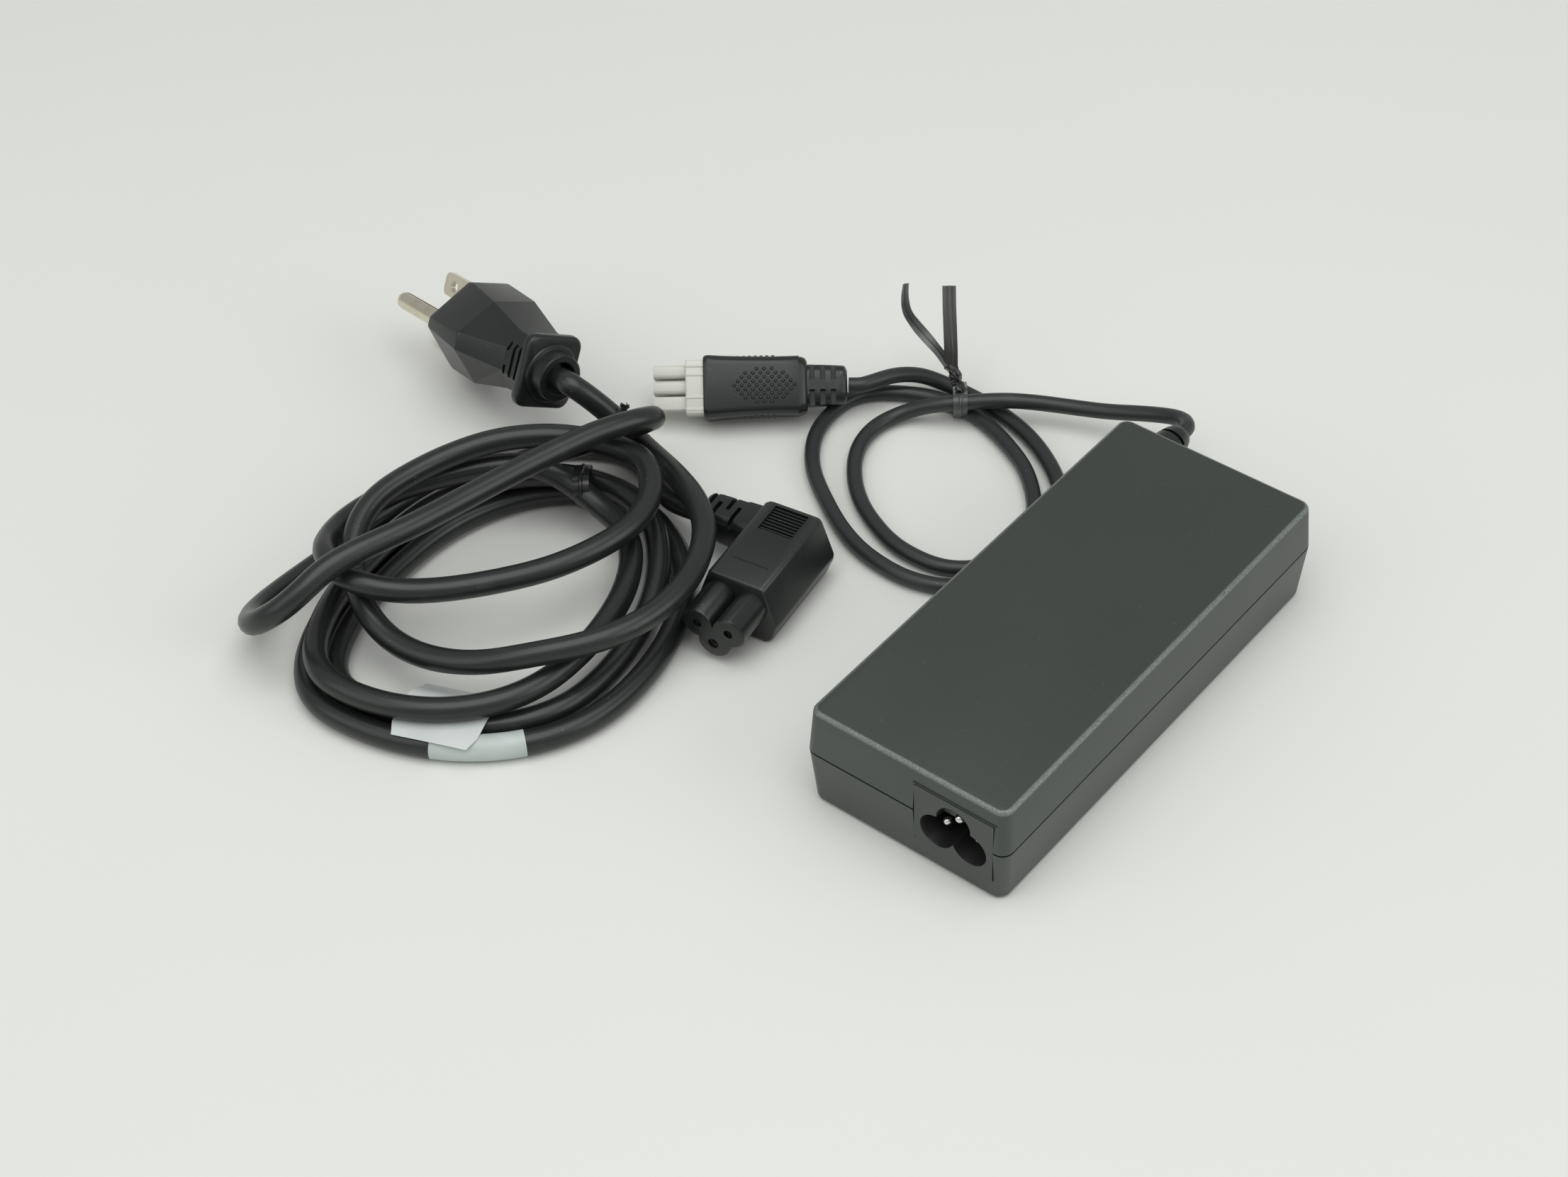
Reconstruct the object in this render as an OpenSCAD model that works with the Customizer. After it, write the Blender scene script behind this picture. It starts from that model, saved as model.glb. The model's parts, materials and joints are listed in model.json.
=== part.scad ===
// Laptop power adapter with its low-voltage cord and its detachable mains lead.
// Millimetres, +Z up, origin at the middle of the brick's underside.
// +X runs along the brick towards the low-voltage cord's exit, +Y towards the cords.

/* [Brick] */
// length of the brick
brick_l = 130; // [127:0.5:134]
// width of the brick at the parting line
brick_w = 56.6; // [55:0.1:59]
// height of the brick
brick_h = 29; // [28:0.5:32]
// height of the parting line
part_z = 16; // [15.5:0.1:16.5]
// wall thickness of both covers
wall = 2.2; // [2:0.1:2.4]
// how far the top face is drawn in on each side
top_in = 0.85; // [0.4:0.05:1.2]
// how far the bottom face is drawn in on each side
bottom_in = 1.2; // [0.6:0.05:1.5]
// radius of the upright corners
corner_r = 3; // [2.5:0.1:4]
// height of the groove between the covers
groove = 0.5; // [0.3:0.1:0.8]
// height of the tongue above the parting line
lip_h = 2; // [1.5:0.1:2.5]
// clearance round the tongue
lip_gap = 0.1; // [0.05:0.05:0.2]

/* [Mains inlet] */
// width of the inlet insert
inlet_w = 21.8; // [21.4:0.1:22.4]
// height of the inlet insert
inlet_h = 18; // [17.8:0.1:18.4]
// distance of the inlet's middle from the brick's middle line
inlet_y = 13.8; // [13:0.1:14.4]
// height of the inlet's middle
inlet_z = 15.2; // [15:0.1:15.6]
// depth of the inlet insert
inlet_d = 19; // [18.5:0.5:20]
// depth of the socket
socket_d = 13; // [12:0.5:14]
// radius of each lobe of the socket
socket_lobe_r = 4.6; // [4.5:0.05:4.7]
// spacing of the line and neutral pins
pin_pitch = 8.8; // [8.6:0.1:9]
// offset of the earth pin above the other two
earth_rise = 5; // [4.8:0.1:5.2]
// diameter of the inlet pins
pin_d = 2.4; // [2.3:0.05:2.5]

/* [Low-voltage cord] */
// diameter of the low-voltage cord
dc_d = 4.2; // [4:0.05:4.3]
// distance of the exit from the brick's middle line
dc_exit_y = 20; // [19.5:0.1:20.5]
// length of the strain relief outside the brick
dc_boot_l = 15; // [14:0.5:15.5]
// radius of the strain relief at the brick
dc_boot_r = 5.2; // [5:0.1:5.6]

/* [Low-voltage plug] */
// length of the overmould
dcp_l = 27.5; // [26.5:0.5:28.5]
// width of the overmould at the front
dcp_w = 17; // [16.5:0.1:17.5]
// thickness of the overmould
dcp_t = 12; // [11.6:0.1:12.4]
// length of the plug's slotted strain relief
dcp_boot_l = 11; // [10.5:0.1:11.5]
// pitch of the contacts
dcp_pitch = 4.2; // [4.1:0.05:4.3]
// size across each contact chimney
dcp_silo = 3.5; // [3.4:0.05:3.6]
// length of the contact chimneys
dcp_silo_l = 8.5; // [8:0.5:9]
// length of the housing's collar
dcp_collar_l = 4.7; // [4.5:0.1:5]

/* [Mains lead] */
// diameter of the mains cord
ac_d = 6.2; // [6:0.05:6.3]
// length of the appliance connector's body
con_l = 30.6; // [30:0.1:31]
// width of the appliance connector's body at its widest
con_w = 23; // [22.5:0.1:23.2]
// height of the appliance connector's body
con_h = 17.5; // [17:0.1:17.8]
// length of the connector's nose
nose_l = 11.5; // [11:0.1:12]
// radius of each lobe of the nose
nose_lobe_r = 4.3; // [4.2:0.05:4.35]
// bore of the nose's contacts
nose_bore = 2.8; // [2.6:0.1:3]

/* [Mains plug] */
// size across the plug's square flange
flange_w = 21.5; // [21:0.1:22]
// width of the plug's body
plug_w = 26; // [25.4:0.1:26.4]
// distance from the flange's back to the front face
plug_l = 41.5; // [41:0.5:42.5]
// thickness of the flat blades
blade_t = 1.5; // [1.4:0.05:1.6]
// width of the flat blades
blade_w = 6.35; // [6.2:0.05:6.5]
// length of the flat blades
blade_l = 17.5; // [17:0.5:18]
// diameter of the earth pin
gpin_d = 4.8; // [4.7:0.05:4.9]
// length of the earth pin
gpin_l = 20; // [19.5:0.5:21]

/* [Circuit board] */
// clearance between the inlet and the board
pcb_gap = 0.4; // [0.3:0.1:0.8]
// clearance between the board's far end and the covers' wall
pcb_end = 4; // [3.5:0.1:4.5]
// clearance between each side of the board and the covers' wall
pcb_side = 1.6; // [1.2:0.1:2]
// thickness of the circuit board
pcb_t = 1.6; // [1.4:0.1:1.8]
// height of the circuit board's underside
pcb_z = 5; // [4.8:0.1:5.2]
// thickness of the pad on the transformer
pad_t = 1.9; // [1.5:0.1:2.3]
// thickness of the insulating sheet
sheet_t = 0.4; // [0.3:0.05:0.5]
// thickness of the shield plate
shield_t = 0.5; // [0.4:0.05:0.6]

/* [Hidden] */
$fn = 48;
e = 0.01;
hull_fn = 32;
cav_l = brick_l - 2 * wall;
cav_w = brick_w - 2 * wall;
floor_z = wall;
ceil_z = brick_h - wall;
pcb_top = pcb_z + pcb_t;
x0 = -brick_l / 2;
x1 = brick_l / 2;
in_x = x0 + 0.4;
pcb_x1 = x1 - wall - pcb_end;
pcb_x0 = in_x + inlet_d + pcb_gap;
pcb_l = pcb_x1 - pcb_x0;
pcb_w = cav_w - 2 * pcb_side;
pcb_c = (pcb_x0 + pcb_x1) / 2;
// room between the board and the insulating sheet
head = ceil_z - shield_t - sheet_t - pcb_top;
tall = head - 2.3;
package_h = head - 4.3;
bulk_d = head - 1.3;
// the long components take the length between those at the board's two ends
bulk_l = pcb_l - 72;
core_l = pcb_l - 80;
core_w = pcb_w - 23;
core_h = head - pad_t;
filter_w = pcb_w - 31;
choke_d = pcb_w - 34;
lobe_low = inlet_z - 2.4;
// everything outside the brick moves with its size
shift = [x1 - 65, brick_w / 2 - 28.3, 0];
exit_y = dc_exit_y + shift[1];
dc_r = dc_d / 2;
ac_r = ac_d / 2;
boot_gap = 0.4;

dc_dir = [-0.625, 0.781, 0];
dc_az = 128.7;
dc_lift = ((dcp_w - 6) / 2 + (dcp_t - 6) / 2) * sin(45) + 3 + 0.1;
dc_end = [51.5, 105.3, dc_lift];
con_o = [-16.9, 78.1, 0];
con_yaw = 9;
con_boot_u = 10.5;
con_boot_v = 24;
con_axis = 9;
turned = [-sin(con_yaw), cos(con_yaw), 0];
con_out = con_o + con_boot_u * [cos(con_yaw), sin(con_yaw), 0] + con_boot_v * turned + [0, 0, con_axis];
plug_az = 78.6;
plug_dip = 10.4;
plug_roll = 29.5;
plug_o = [-4.6, 160.1, 23.4];
plug_dir = [cos(plug_dip) * cos(plug_az), cos(plug_dip) * sin(plug_az), -sin(plug_dip)];
plug_back = 5;

// route of the low-voltage cord from its exit to the tie
dc_exit_pts = [
  [65 + dc_boot_l, dc_exit_y, part_z], [69 + dc_boot_l, dc_exit_y + 0.5, part_z - 0.4], [87, 23, 14.4], [88, 28, 12.6], [87, 36, 10.2], [84.5, 45, 8],
  [81.5, 54, 7], [78, 61.5, 7], [74, 68, 7.3], [70, 73, 7.4], [66, 77.5, 7.3], [62.5, 82, 6.9],
  [60, 86.5, 5.4], [58, 90, 3.6], [54, 93, 2.4]];
// two turns on the surface
dc_loop_pts = [
  [48.5, 94.3, 2.2], [41.5, 93.5, 2.2], [34.5, 90.3, 2.2], [27.5, 84.8, 2.2], [22, 78.3, 2.2],
  [18, 71, 2.2], [15, 63, 2.2], [14.3, 55, 2.2], [15.5, 47.5, 2.2], [20, 41, 2.2], [27, 37.5, 2.2],
  [35, 37, 2.2], [43, 39.5, 2.2], [51, 45, 2.2], [58.5, 53, 2.2], [63, 61, 2.2], [66, 68, 2.2],
  [67.8, 74.5, 2.2], [68.5, 81, 2.2], [68, 87, 2.2], [66.5, 92, 2.2], [64, 97, 2.2], [60, 102.5, 2.2],
  [54.5, 106.3, 2.2], [46.5, 107.2, 2.2], [38, 105.5, 2.2], [30.5, 101.4, 2.2], [24, 95.5, 2.2],
  [17.8, 87, 2.2], [12.3, 78, 2.2], [8.5, 69, 2.2], [6.8, 60, 2.2], [7, 51.5, 2.2], [10, 43, 2.2],
  [16, 36.5, 2.2], [25, 32.4, 2.2], [35, 31.3, 2.2], [45, 33.2, 2.2], [54, 38.2, 2.2], [61, 45, 2.2],
  [66.5, 53, 2.2], [70.3, 61, 2.2], [72.6, 69, 2.2], [73.8, 77, 2.2]];
// from the tie to the low-voltage plug
dc_lead_pts = [
  [73.9, 84, 2.4], [72.8, 89.5, 3.4], [70, 94, 5.6], [66, 97.2, 7.3], [61.5, 99.6, 8.3],
  [57.2, 100.9, 8.9], dc_end - 3.4 * dc_dir, dc_end];

// route of the mains cord from the appliance connector, round the back and over the coil
ac_tail_pts = [
  [-10.6, 113, 7.4], [-8, 119, 5.6], [-4, 125, 4.2],
  [-1, 132, 3.3], [0, 141, 3.2], [-5, 151, 3.2], [-14, 160, 3.2], [-27, 167.5, 3.2],
  [-43, 171.5, 3.2], [-60, 173, 3.2], [-78, 174, 3.2], [-93, 173.5, 4.5], [-104.5, 170, 8],
  [-111.3, 163.8, 13], [-112.3, 156.8, 19], [-107.3, 151.2, 24.6], [-97, 149, 29], [-87, 146, 30],
  [-74, 142, 30], [-58, 139, 29.5], [-40, 135, 29.5], [-22, 130, 29.5], [-11, 126, 28.5],
  [-3.4, 124.6, 25.4], [-1, 129, 21], [-6.4, 133.8, 18.4], [-12.3, 140, 15.6], [-18, 147.5, 12],
  [-25, 156, 7.8], [-38, 162.5, 4.2]];
// back, left, front and right of each of the three neat turns
ac_turns = [
  [-57, 165, 3.2], [-115, 136, 3.2], [-70, 81.5, 3.2], [-14.5, 124, 3.2],
  [-57, 157.5, 3.2], [-107.5, 136, 3.2], [-72, 89.5, 3.2], [-17.5, 125, 10],
  [-58, 161, 10], [-112, 136, 10], [-75, 94.5, 10], [-26, 124, 10]];
// the loose turns on top, and the lead to the mains plug
ac_loose_pts = [
  [-26, 133, 13.2], [-29, 143, 17], [-36, 152, 17.5], [-46, 160, 17], [-57, 166, 16.5],
  [-70, 168.5, 16.5], [-81, 166, 18], [-89, 158.5, 21.8], [-92, 148, 22.5], [-88, 138, 21.2],
  [-79, 130, 19], [-68, 122, 18], [-57, 115, 17.8], [-46, 110.5, 18], [-35, 108.5, 18],
  [-25, 110, 18], [-17.5, 114.5, 19], [-13, 121, 20], [-14, 130, 20.5], [-18.5, 137, 22.5],
  [-25, 143.5, 24.5], [-34, 151.5, 25], [-45, 157.5, 24.5], [-57, 161, 24], [-68, 162, 23.5],
  [-77.5, 159.5, 21.5], [-85, 153.5, 18.5], [-90.5, 146, 15.5], [-93, 139, 13], [-94, 130, 11.8],
  [-92.5, 119, 12.5], [-88, 108, 14.5], [-80, 98, 17], [-71, 90, 18], [-60, 85, 18],
  [-49, 83.5, 18], [-38, 85, 18], [-27, 90, 17.6], [-19.5, 96, 17.5], [-14, 104, 17]];
ac_lead_pts = [
  [-9.5, 113, 15.4], [-5.6, 122, 13.4], [-2.6, 130, 11.8], [-1.2, 136.5, 13], [-2, 142, 16.6],
  [-4.4, 146.4, 21.6]];

// ---------- routes ----------
function cr(a, b, c, d, t) =
  0.5 * (2 * b + (c - a) * t + (2 * a - 5 * b + 4 * c - d) * t * t + (3 * b - a - 3 * c + d) * t * t * t);
function smooth(p, n) = [
  for (i = [0 : len(p) - 2], k = [0 : n - 1])
    cr(p[max(i - 1, 0)], p[i], p[i + 1], p[min(i + 2, len(p) - 1)], k / n)];
// quarter ellipses through the back, left, front and right of each turn
function turns(q, n) = [
  for (i = [0 : len(q) - 2], k = [0 : n - 1])
    let (a = q[i], b = q[i + 1], t = 90 * k / n, s = (1 - cos(2 * t)) / 2)
      i % 2 == 0
        ? [a[0] + (b[0] - a[0]) * sin(t), b[1] + (a[1] - b[1]) * cos(t), a[2] + (b[2] - a[2]) * s]
        : [b[0] + (a[0] - b[0]) * cos(t), a[1] + (b[1] - a[1]) * sin(t), a[2] + (b[2] - a[2]) * s]];
dc_key = concat(dc_exit_pts, dc_loop_pts, dc_lead_pts);
dc_n = 2;
dc_path = concat(smooth(dc_key, dc_n), [dc_key[len(dc_key) - 1]]);
dc_i1 = len(dc_exit_pts) * dc_n;
dc_i2 = dc_i1 + len(dc_loop_pts) * dc_n;
ac_n = 2;
ac_q = 6;
ac_tail = smooth(concat([con_out, con_out + 5 * turned], ac_tail_pts, [ac_turns[0]]), ac_n);
ac_ring = turns(ac_turns, ac_q);
plug_in = plug_o - plug_back * plug_dir;
ac_top_key = concat([ac_turns[len(ac_turns) - 1]], ac_loose_pts, ac_lead_pts, [plug_in - 5 * plug_dir, plug_in]);
ac_top = smooth(ac_top_key, ac_n);
ac_path = concat(ac_tail, ac_ring, ac_top, [plug_in]);
ac_i1 = len(ac_tail);
ac_i2 = ac_i1 + len(ac_ring);
ac_i3 = ac_i2 + (1 + len(ac_loose_pts)) * ac_n;

// ---------- tubes ----------
function unit(v) = v / norm(v);
function along(p, i, ends) =
  i == 0 ? ends[0] : i == len(p) - 1 ? ends[1] : unit(p[i + 1] - p[i - 1]);
function rings(p, i0, i1, r, n, ends) = [
  for (i = [i0 : i1])
    let (t = along(p, i, ends), a = unit(cross(t, [0, 0, 1])), b = cross(a, t))
      for (k = [0 : n - 1])
        p[i] + r * (cos(360 * (k + 0.5) / n) * a + sin(360 * (k + 0.5) / n) * b)];
function skin(m, n) = concat(
  [for (k = [1 : n - 2]) [0, k, k + 1]],
  [for (j = [0 : m - 2], k = [0 : n - 1]) [j * n + k, (j + 1) * n + k, (j + 1) * n + (k + 1) % n]],
  [for (j = [0 : m - 2], k = [0 : n - 1]) [j * n + k, (j + 1) * n + (k + 1) % n, j * n + (k + 1) % n]],
  [for (k = [1 : n - 2]) [(m - 1) * n, (m - 1) * n + k + 1, (m - 1) * n + k]]);
module tube(p, i0, i1, r, n, ends) {
  polyhedron(points = rings(p, i0, i1, r, n, ends), faces = skin(i1 - i0 + 1, n), convexity = 8);
}
// least gap of a route to itself, measured on its points
function least(p, d, skip) = min([
  for (i = [0 : len(p) - 1], j = [i + skip : 1 : len(p) - 1]) if (j < len(p)) norm(p[i] - p[j]) - d]);
function run(p, i = 1, s = 0) = i >= len(p) ? s : run(p, i + 1, s + norm(p[i] - p[i - 1]));
function dense(p, n) = [for (i = [0 : len(p) - 2], k = [0 : n - 1]) p[i] + (p[i + 1] - p[i]) * k / n];
echo(dc_length = run(dc_path), dc_least_gap = least(dense(dc_path, 2), dc_d, 12));
echo(ac_length = run(ac_path), ac_least_gap = least(dense(ac_path, 2), ac_d, 12));
dc_ends = [[1, 0, 0], dc_dir];
ac_ends = [turned, plug_dir];

// ---------- shared shapes ----------
module rr(l, w, r) {
  square([l - 2 * r, w], center = true);
  square([l, w - 2 * r], center = true);
  for (x = [-1, 1], y = [-1, 1]) translate([x * (l / 2 - r), y * (w / 2 - r)]) circle(r = r);
}
module slab(l, w, r, z0, z1, fn = 48) {
  translate([0, 0, z0]) linear_extrude(z1 - z0) rr(l, w, r, $fn = fn);
}
// a block with rounded long edges, its axis along +X
module bar(l, w, h, r) {
  rotate([90, 0, 90]) linear_extrude(l) rr(w, h, r);
}
module lobes(r, pitch, rise) {
  for (s = [-1, 1]) translate([s * pitch / 2, 0]) circle(r = r);
  translate([0, rise]) circle(r = r);
  polygon([[-pitch / 2, 0], [pitch / 2, 0], [0, rise]]);
}
module dc_place() {
  translate(dc_end) rotate([0, 0, dc_az]) rotate([-45, 0, 0]) children();
}
module con_place() {
  translate(con_o) rotate([0, 0, con_yaw]) children();
}
module plug_place() {
  translate(plug_o) rotate([0, 0, plug_az]) rotate([0, plug_dip, 0]) rotate([plug_roll, 0, 0]) children();
}
// a place on the board, from its inlet end and right side, or from the far ones where negative
module on_board(x, y) {
  translate([x < 0 ? pcb_x1 + x : pcb_x0 + x, y < 0 ? pcb_w / 2 + y : y - pcb_w / 2, pcb_top]) children();
}

// ---------- covers ----------
module inlet_notch() {
  translate([x0 - 1, -inlet_y - inlet_w / 2, inlet_z - inlet_h / 2])
    cube([in_x + inlet_d - x0 + 1, inlet_w, inlet_h]);
}
module boot_hole() {
  translate([x1 - wall - 1, exit_y, part_z]) rotate([0, 90, 0]) cylinder(r = 4, h = wall + 3);
}
module top_cover() {
  color([0.27, 0.29, 0.28]) difference() {
    hull() {
      slab(brick_l - 0.04, brick_w - 0.04, corner_r, part_z + groove / 2, part_z + groove / 2 + 0.1, hull_fn);
      slab(brick_l - 2 * top_in + 0.1, brick_w - 2 * top_in + 0.1, corner_r, brick_h - 1, brick_h - 0.9, hull_fn);
      slab(brick_l - 2 * top_in - 1, brick_w - 2 * top_in - 1, corner_r, brick_h - 0.1, brick_h, hull_fn);
    }
    slab(cav_l, cav_w, 1.5, part_z - 1, ceil_z);
    slab(brick_l - wall + 2 * lip_gap, brick_w - wall + 2 * lip_gap, 2, part_z - 1, part_z + lip_h);
    inlet_notch();
    boot_hole();
  }
}
module bottom_cover() {
  color([0.25, 0.27, 0.26]) difference() {
    union() {
      hull() {
        slab(brick_l - 2 * bottom_in - 1, brick_w - 2 * bottom_in - 1, corner_r, 0, 0.1, hull_fn);
        slab(brick_l - 2 * bottom_in + 0.1, brick_w - 2 * bottom_in + 0.1, corner_r, 0.9, 1, hull_fn);
        slab(brick_l, brick_w, corner_r, part_z - groove / 2 - 0.1, part_z - groove / 2, hull_fn);
      }
      slab(brick_l - wall, brick_w - wall, 2, part_z - 1, part_z + lip_h);
    }
    slab(cav_l, cav_w, 1.5, floor_z, part_z + lip_h + 1);
    inlet_notch();
    boot_hole();
  }
  color([0.25, 0.27, 0.26])
    for (x = [-1, 1], y = [-1, 1])
      translate([pcb_c + x * (pcb_l / 2 - 6), y * (pcb_w / 2 - 5), floor_z - e])
        cylinder(d = 6, h = pcb_z - floor_z + e);
}

// ---------- mains inlet ----------
module inlet_housing() {
  color([0.12, 0.12, 0.13]) difference() {
    translate([in_x, -inlet_y - inlet_w / 2, inlet_z - inlet_h / 2])
      cube([inlet_d, inlet_w, inlet_h]);
    translate([in_x - e, -inlet_y, lobe_low]) rotate([90, 0, 90])
      linear_extrude(socket_d + e) lobes(socket_lobe_r, pin_pitch, earth_rise);
    for (p = [[-pin_pitch / 2, 0], [pin_pitch / 2, 0], [0, earth_rise]])
      translate([in_x + socket_d - 1, -inlet_y + p[0], lobe_low + p[1]]) rotate([0, 90, 0])
        cylinder(d = pin_d, h = inlet_d);
  }
}
module inlet_pin(dy, dz, recess) {
  color([0.82, 0.83, 0.84])
    translate([in_x + recess + pin_d / 2, -inlet_y + dy, lobe_low + dz]) rotate([0, 90, 0]) {
      cylinder(d = pin_d, h = inlet_d + 2 - recess - pin_d / 2);
      sphere(d = pin_d);
    }
}
module inlet_pin_line() {
  inlet_pin(pin_pitch / 2, 0, 3);
}
module inlet_pin_neutral() {
  inlet_pin(-pin_pitch / 2, 0, 3);
}
module inlet_pin_earth() {
  inlet_pin(0, earth_rise, 1.5);
}
// a wire from the back of a pin down to the board
module inlet_wire(dy, dz) {
  translate([in_x + inlet_d + 2, -inlet_y + dy, lobe_low + dz]) {
    rotate([0, 90, 0]) cylinder(d = 1.6, h = pcb_x0 + 3 - in_x - inlet_d - 2, $fn = 24);
    translate([pcb_x0 + 3 - in_x - inlet_d - 2, 0, 0]) {
      sphere(d = 1.6, $fn = 24);
      translate([0, 0, pcb_top - lobe_low - dz])
        cylinder(d = 1.6, h = lobe_low + dz - pcb_top, $fn = 24);
    }
  }
}
module inlet_lead_line() {
  color([0.45, 0.25, 0.12]) inlet_wire(pin_pitch / 2, 0);
}
module inlet_lead_neutral() {
  color([0.15, 0.3, 0.65]) inlet_wire(-pin_pitch / 2, 0);
}
module inlet_lead_earth() {
  color([0.3, 0.6, 0.2]) inlet_wire(0, earth_rise);
}

// ---------- circuit ----------
module circuit_board() {
  color([0.12, 0.35, 0.18]) translate([pcb_c, 0, 0]) slab(pcb_l, pcb_w, 1, pcb_z, pcb_top);
}
module fuse() {
  color([0.85, 0.82, 0.72]) on_board(5, -6.5) translate([0, 0, 2.2]) {
    rotate([0, 90, 0]) cylinder(d = 3.6, h = 10, $fn = 24);
    for (x = [0.6, 8.2]) translate([x, -2.2, -2.2]) cube([1.2, 4.4, 4.4]);
  }
}
module varistor() {
  color([0.2, 0.35, 0.6]) on_board(8, -14.5) {
    translate([0, 0, 6.4]) rotate([0, 90, 0]) cylinder(d = 10, h = 4);
    for (y = [-2.5, 2.5]) translate([2, y, 0]) cylinder(d = 0.8, h = 4, $fn = 16);
  }
}
module x_capacitor() {
  color([0.8, 0.65, 0.15]) on_board(11, 11) cube([8.5, filter_w, 14]);
}
module common_mode_choke() {
  half = filter_w / 2;
  color([0.2, 0.2, 0.2]) on_board(20, 24.5) difference() {
    cube([16, filter_w, 15]);
    translate([3, -1, 3.5]) cube([10, filter_w + 2, 8]);
  }
  color([0.7, 0.4, 0.15]) on_board(20, 24.5) for (y = [2.6, half + 0.4])
    translate([3, y, 3.5]) cube([10, half - 3, 8]);
}
module bridge_rectifier() {
  color([0.1, 0.1, 0.1]) on_board(25, 4.5) cube([4, 16, 11]);
}
module bulk_capacitor() {
  color([0.1, 0.12, 0.3]) on_board(32, 20.5) translate([0, -bulk_d / 2, 0]) {
    translate([0, 0, bulk_d / 2 + 0.1]) rotate([0, 90, 0]) cylinder(d = bulk_d, h = bulk_l);
    for (x = [3, bulk_l - 6]) translate([x, -3, 0]) cube([3, 6, 2]);
  }
}
module transformer_core() {
  color([0.16, 0.16, 0.17]) on_board(48, 21.8) difference() {
    cube([core_l, core_w, core_h]);
    translate([4, -1, 3]) cube([core_l - 8, core_w + 2, core_h - 6]);
  }
}
module transformer_winding() {
  color([0.85, 0.75, 0.25]) on_board(52, 20.8)
    translate([0, 0, 3]) cube([core_l - 8, core_w + 2, core_h - 6]);
}
module primary_heatsink() {
  color([0.75, 0.76, 0.78]) on_board(28, -3.25) cube([19, 1.5, tall]);
}
module power_transistor() {
  color([0.1, 0.1, 0.1]) on_board(39, -7.75) cube([8, 4.5, package_h]);
}
module y_capacitor() {
  color([0.15, 0.4, 0.7]) on_board(-35, 12.5) {
    translate([-1.5, 0, 4.6]) rotate([0, 90, 0]) cylinder(d = 8, h = 3);
    for (y = [-2, 2]) translate([0, y, 0]) cylinder(d = 0.8, h = 3, $fn = 16);
  }
}
module optocoupler() {
  color([0.92, 0.92, 0.9]) on_board(-37.5, 0.5) cube([5, 6.5, 3.6]);
}
module controller_chip() {
  color([0.08, 0.08, 0.08]) on_board(46, 0.1) cube([6, 2.8, 1.8]);
}
module secondary_heatsink() {
  color([0.75, 0.76, 0.78]) on_board(-28.75, 6.5) cube([1.5, pcb_w - 13, tall]);
}
module output_rectifier() {
  color([0.1, 0.1, 0.1]) on_board(-27.25, 24.5) cube([4.5, 10, package_h]);
}
module output_capacitor_a() {
  color([0.1, 0.3, 0.2]) on_board(-15, -10.5) cylinder(d = 9, h = tall);
}
module output_capacitor_b() {
  color([0.1, 0.3, 0.2]) on_board(-15, -21.5) cylinder(d = 9, h = tall);
}
module output_choke() {
  color([0.7, 0.4, 0.15]) on_board(-15, 5 + choke_d / 2) difference() {
    cylinder(d = choke_d, h = 8);
    translate([0, 0, -1]) cylinder(d = 0.4 * choke_d, h = 10);
  }
}
module output_wire(dy) {
  h = part_z - pcb_top;
  translate([x1 - wall - 1.5, exit_y + dy, part_z]) {
    rotate([0, -90, 0]) cylinder(d = 1.8, h = 6, $fn = 24);
    translate([-6, 0, 0]) sphere(d = 1.8, $fn = 24);
    translate([-6, 0, -h]) cylinder(d = 1.8, h = h, $fn = 24);
  }
}
module output_lead_positive() {
  color([0.75, 0.12, 0.1]) output_wire(1.2);
}
module output_lead_return() {
  color([0.1, 0.1, 0.1]) output_wire(-1.2);
}
module thermal_pad() {
  color([0.6, 0.75, 0.85]) on_board(49, 22.8)
    translate([0, 0, core_h]) cube([core_l - 2, core_w - 2, pad_t]);
}
module insulating_sheet() {
  color([0.9, 0.85, 0.6]) translate([pcb_c, 0, 0]) slab(pcb_l - 2, pcb_w - 1, 1, pcb_top + head, ceil_z - shield_t);
}
module shield_plate() {
  color([0.72, 0.45, 0.25]) translate([pcb_c, 0, 0]) slab(pcb_l - 4, pcb_w - 3, 1, ceil_z - shield_t, ceil_z);
}

// ---------- low-voltage cord ----------
module dc_boot() {
  color([0.2, 0.21, 0.21]) translate([0, exit_y, part_z]) rotate([0, 90, 0]) rotate_extrude()
    polygon([[0, x1 - wall - 1.5], [5.4, x1 - wall - 1.5], [5.4, x1 - wall], [4, x1 - wall], [4, x1 + 0.05],
      [dc_boot_r, x1 + 0.05], [dc_boot_r - 0.1, x1 + 3.4], [3.4, x1 + 3.4], [3.4, x1 + 4.6],
      [dc_boot_r - 0.3, x1 + 4.6], [dc_boot_r - 0.6, x1 + 7.6], [3.2, x1 + 7.6], [3.2, x1 + 8.8],
      [dc_boot_r - 0.8, x1 + 8.8], [dc_boot_r - 1.1, x1 + 11.6], [2.9, x1 + 11.6], [2.9, x1 + 12.6],
      [dc_boot_r - 1.4, x1 + 12.6], [dc_boot_r - 1.8, x1 + dc_boot_l], [0, x1 + dc_boot_l]]);
}
module dc_cord_exit() {
  color([0.17, 0.18, 0.18]) translate(shift) tube(dc_path, 0, dc_i1, dc_r, 8, dc_ends);
}
module dc_cord_coil() {
  color([0.17, 0.18, 0.18]) translate(shift) tube(dc_path, dc_i1, dc_i2, dc_r, 6, dc_ends);
}
module dc_cord_lead() {
  color([0.17, 0.18, 0.18]) translate(shift) tube(dc_path, dc_i2, len(dc_path) - 1, dc_r, 8, dc_ends);
}
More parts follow.
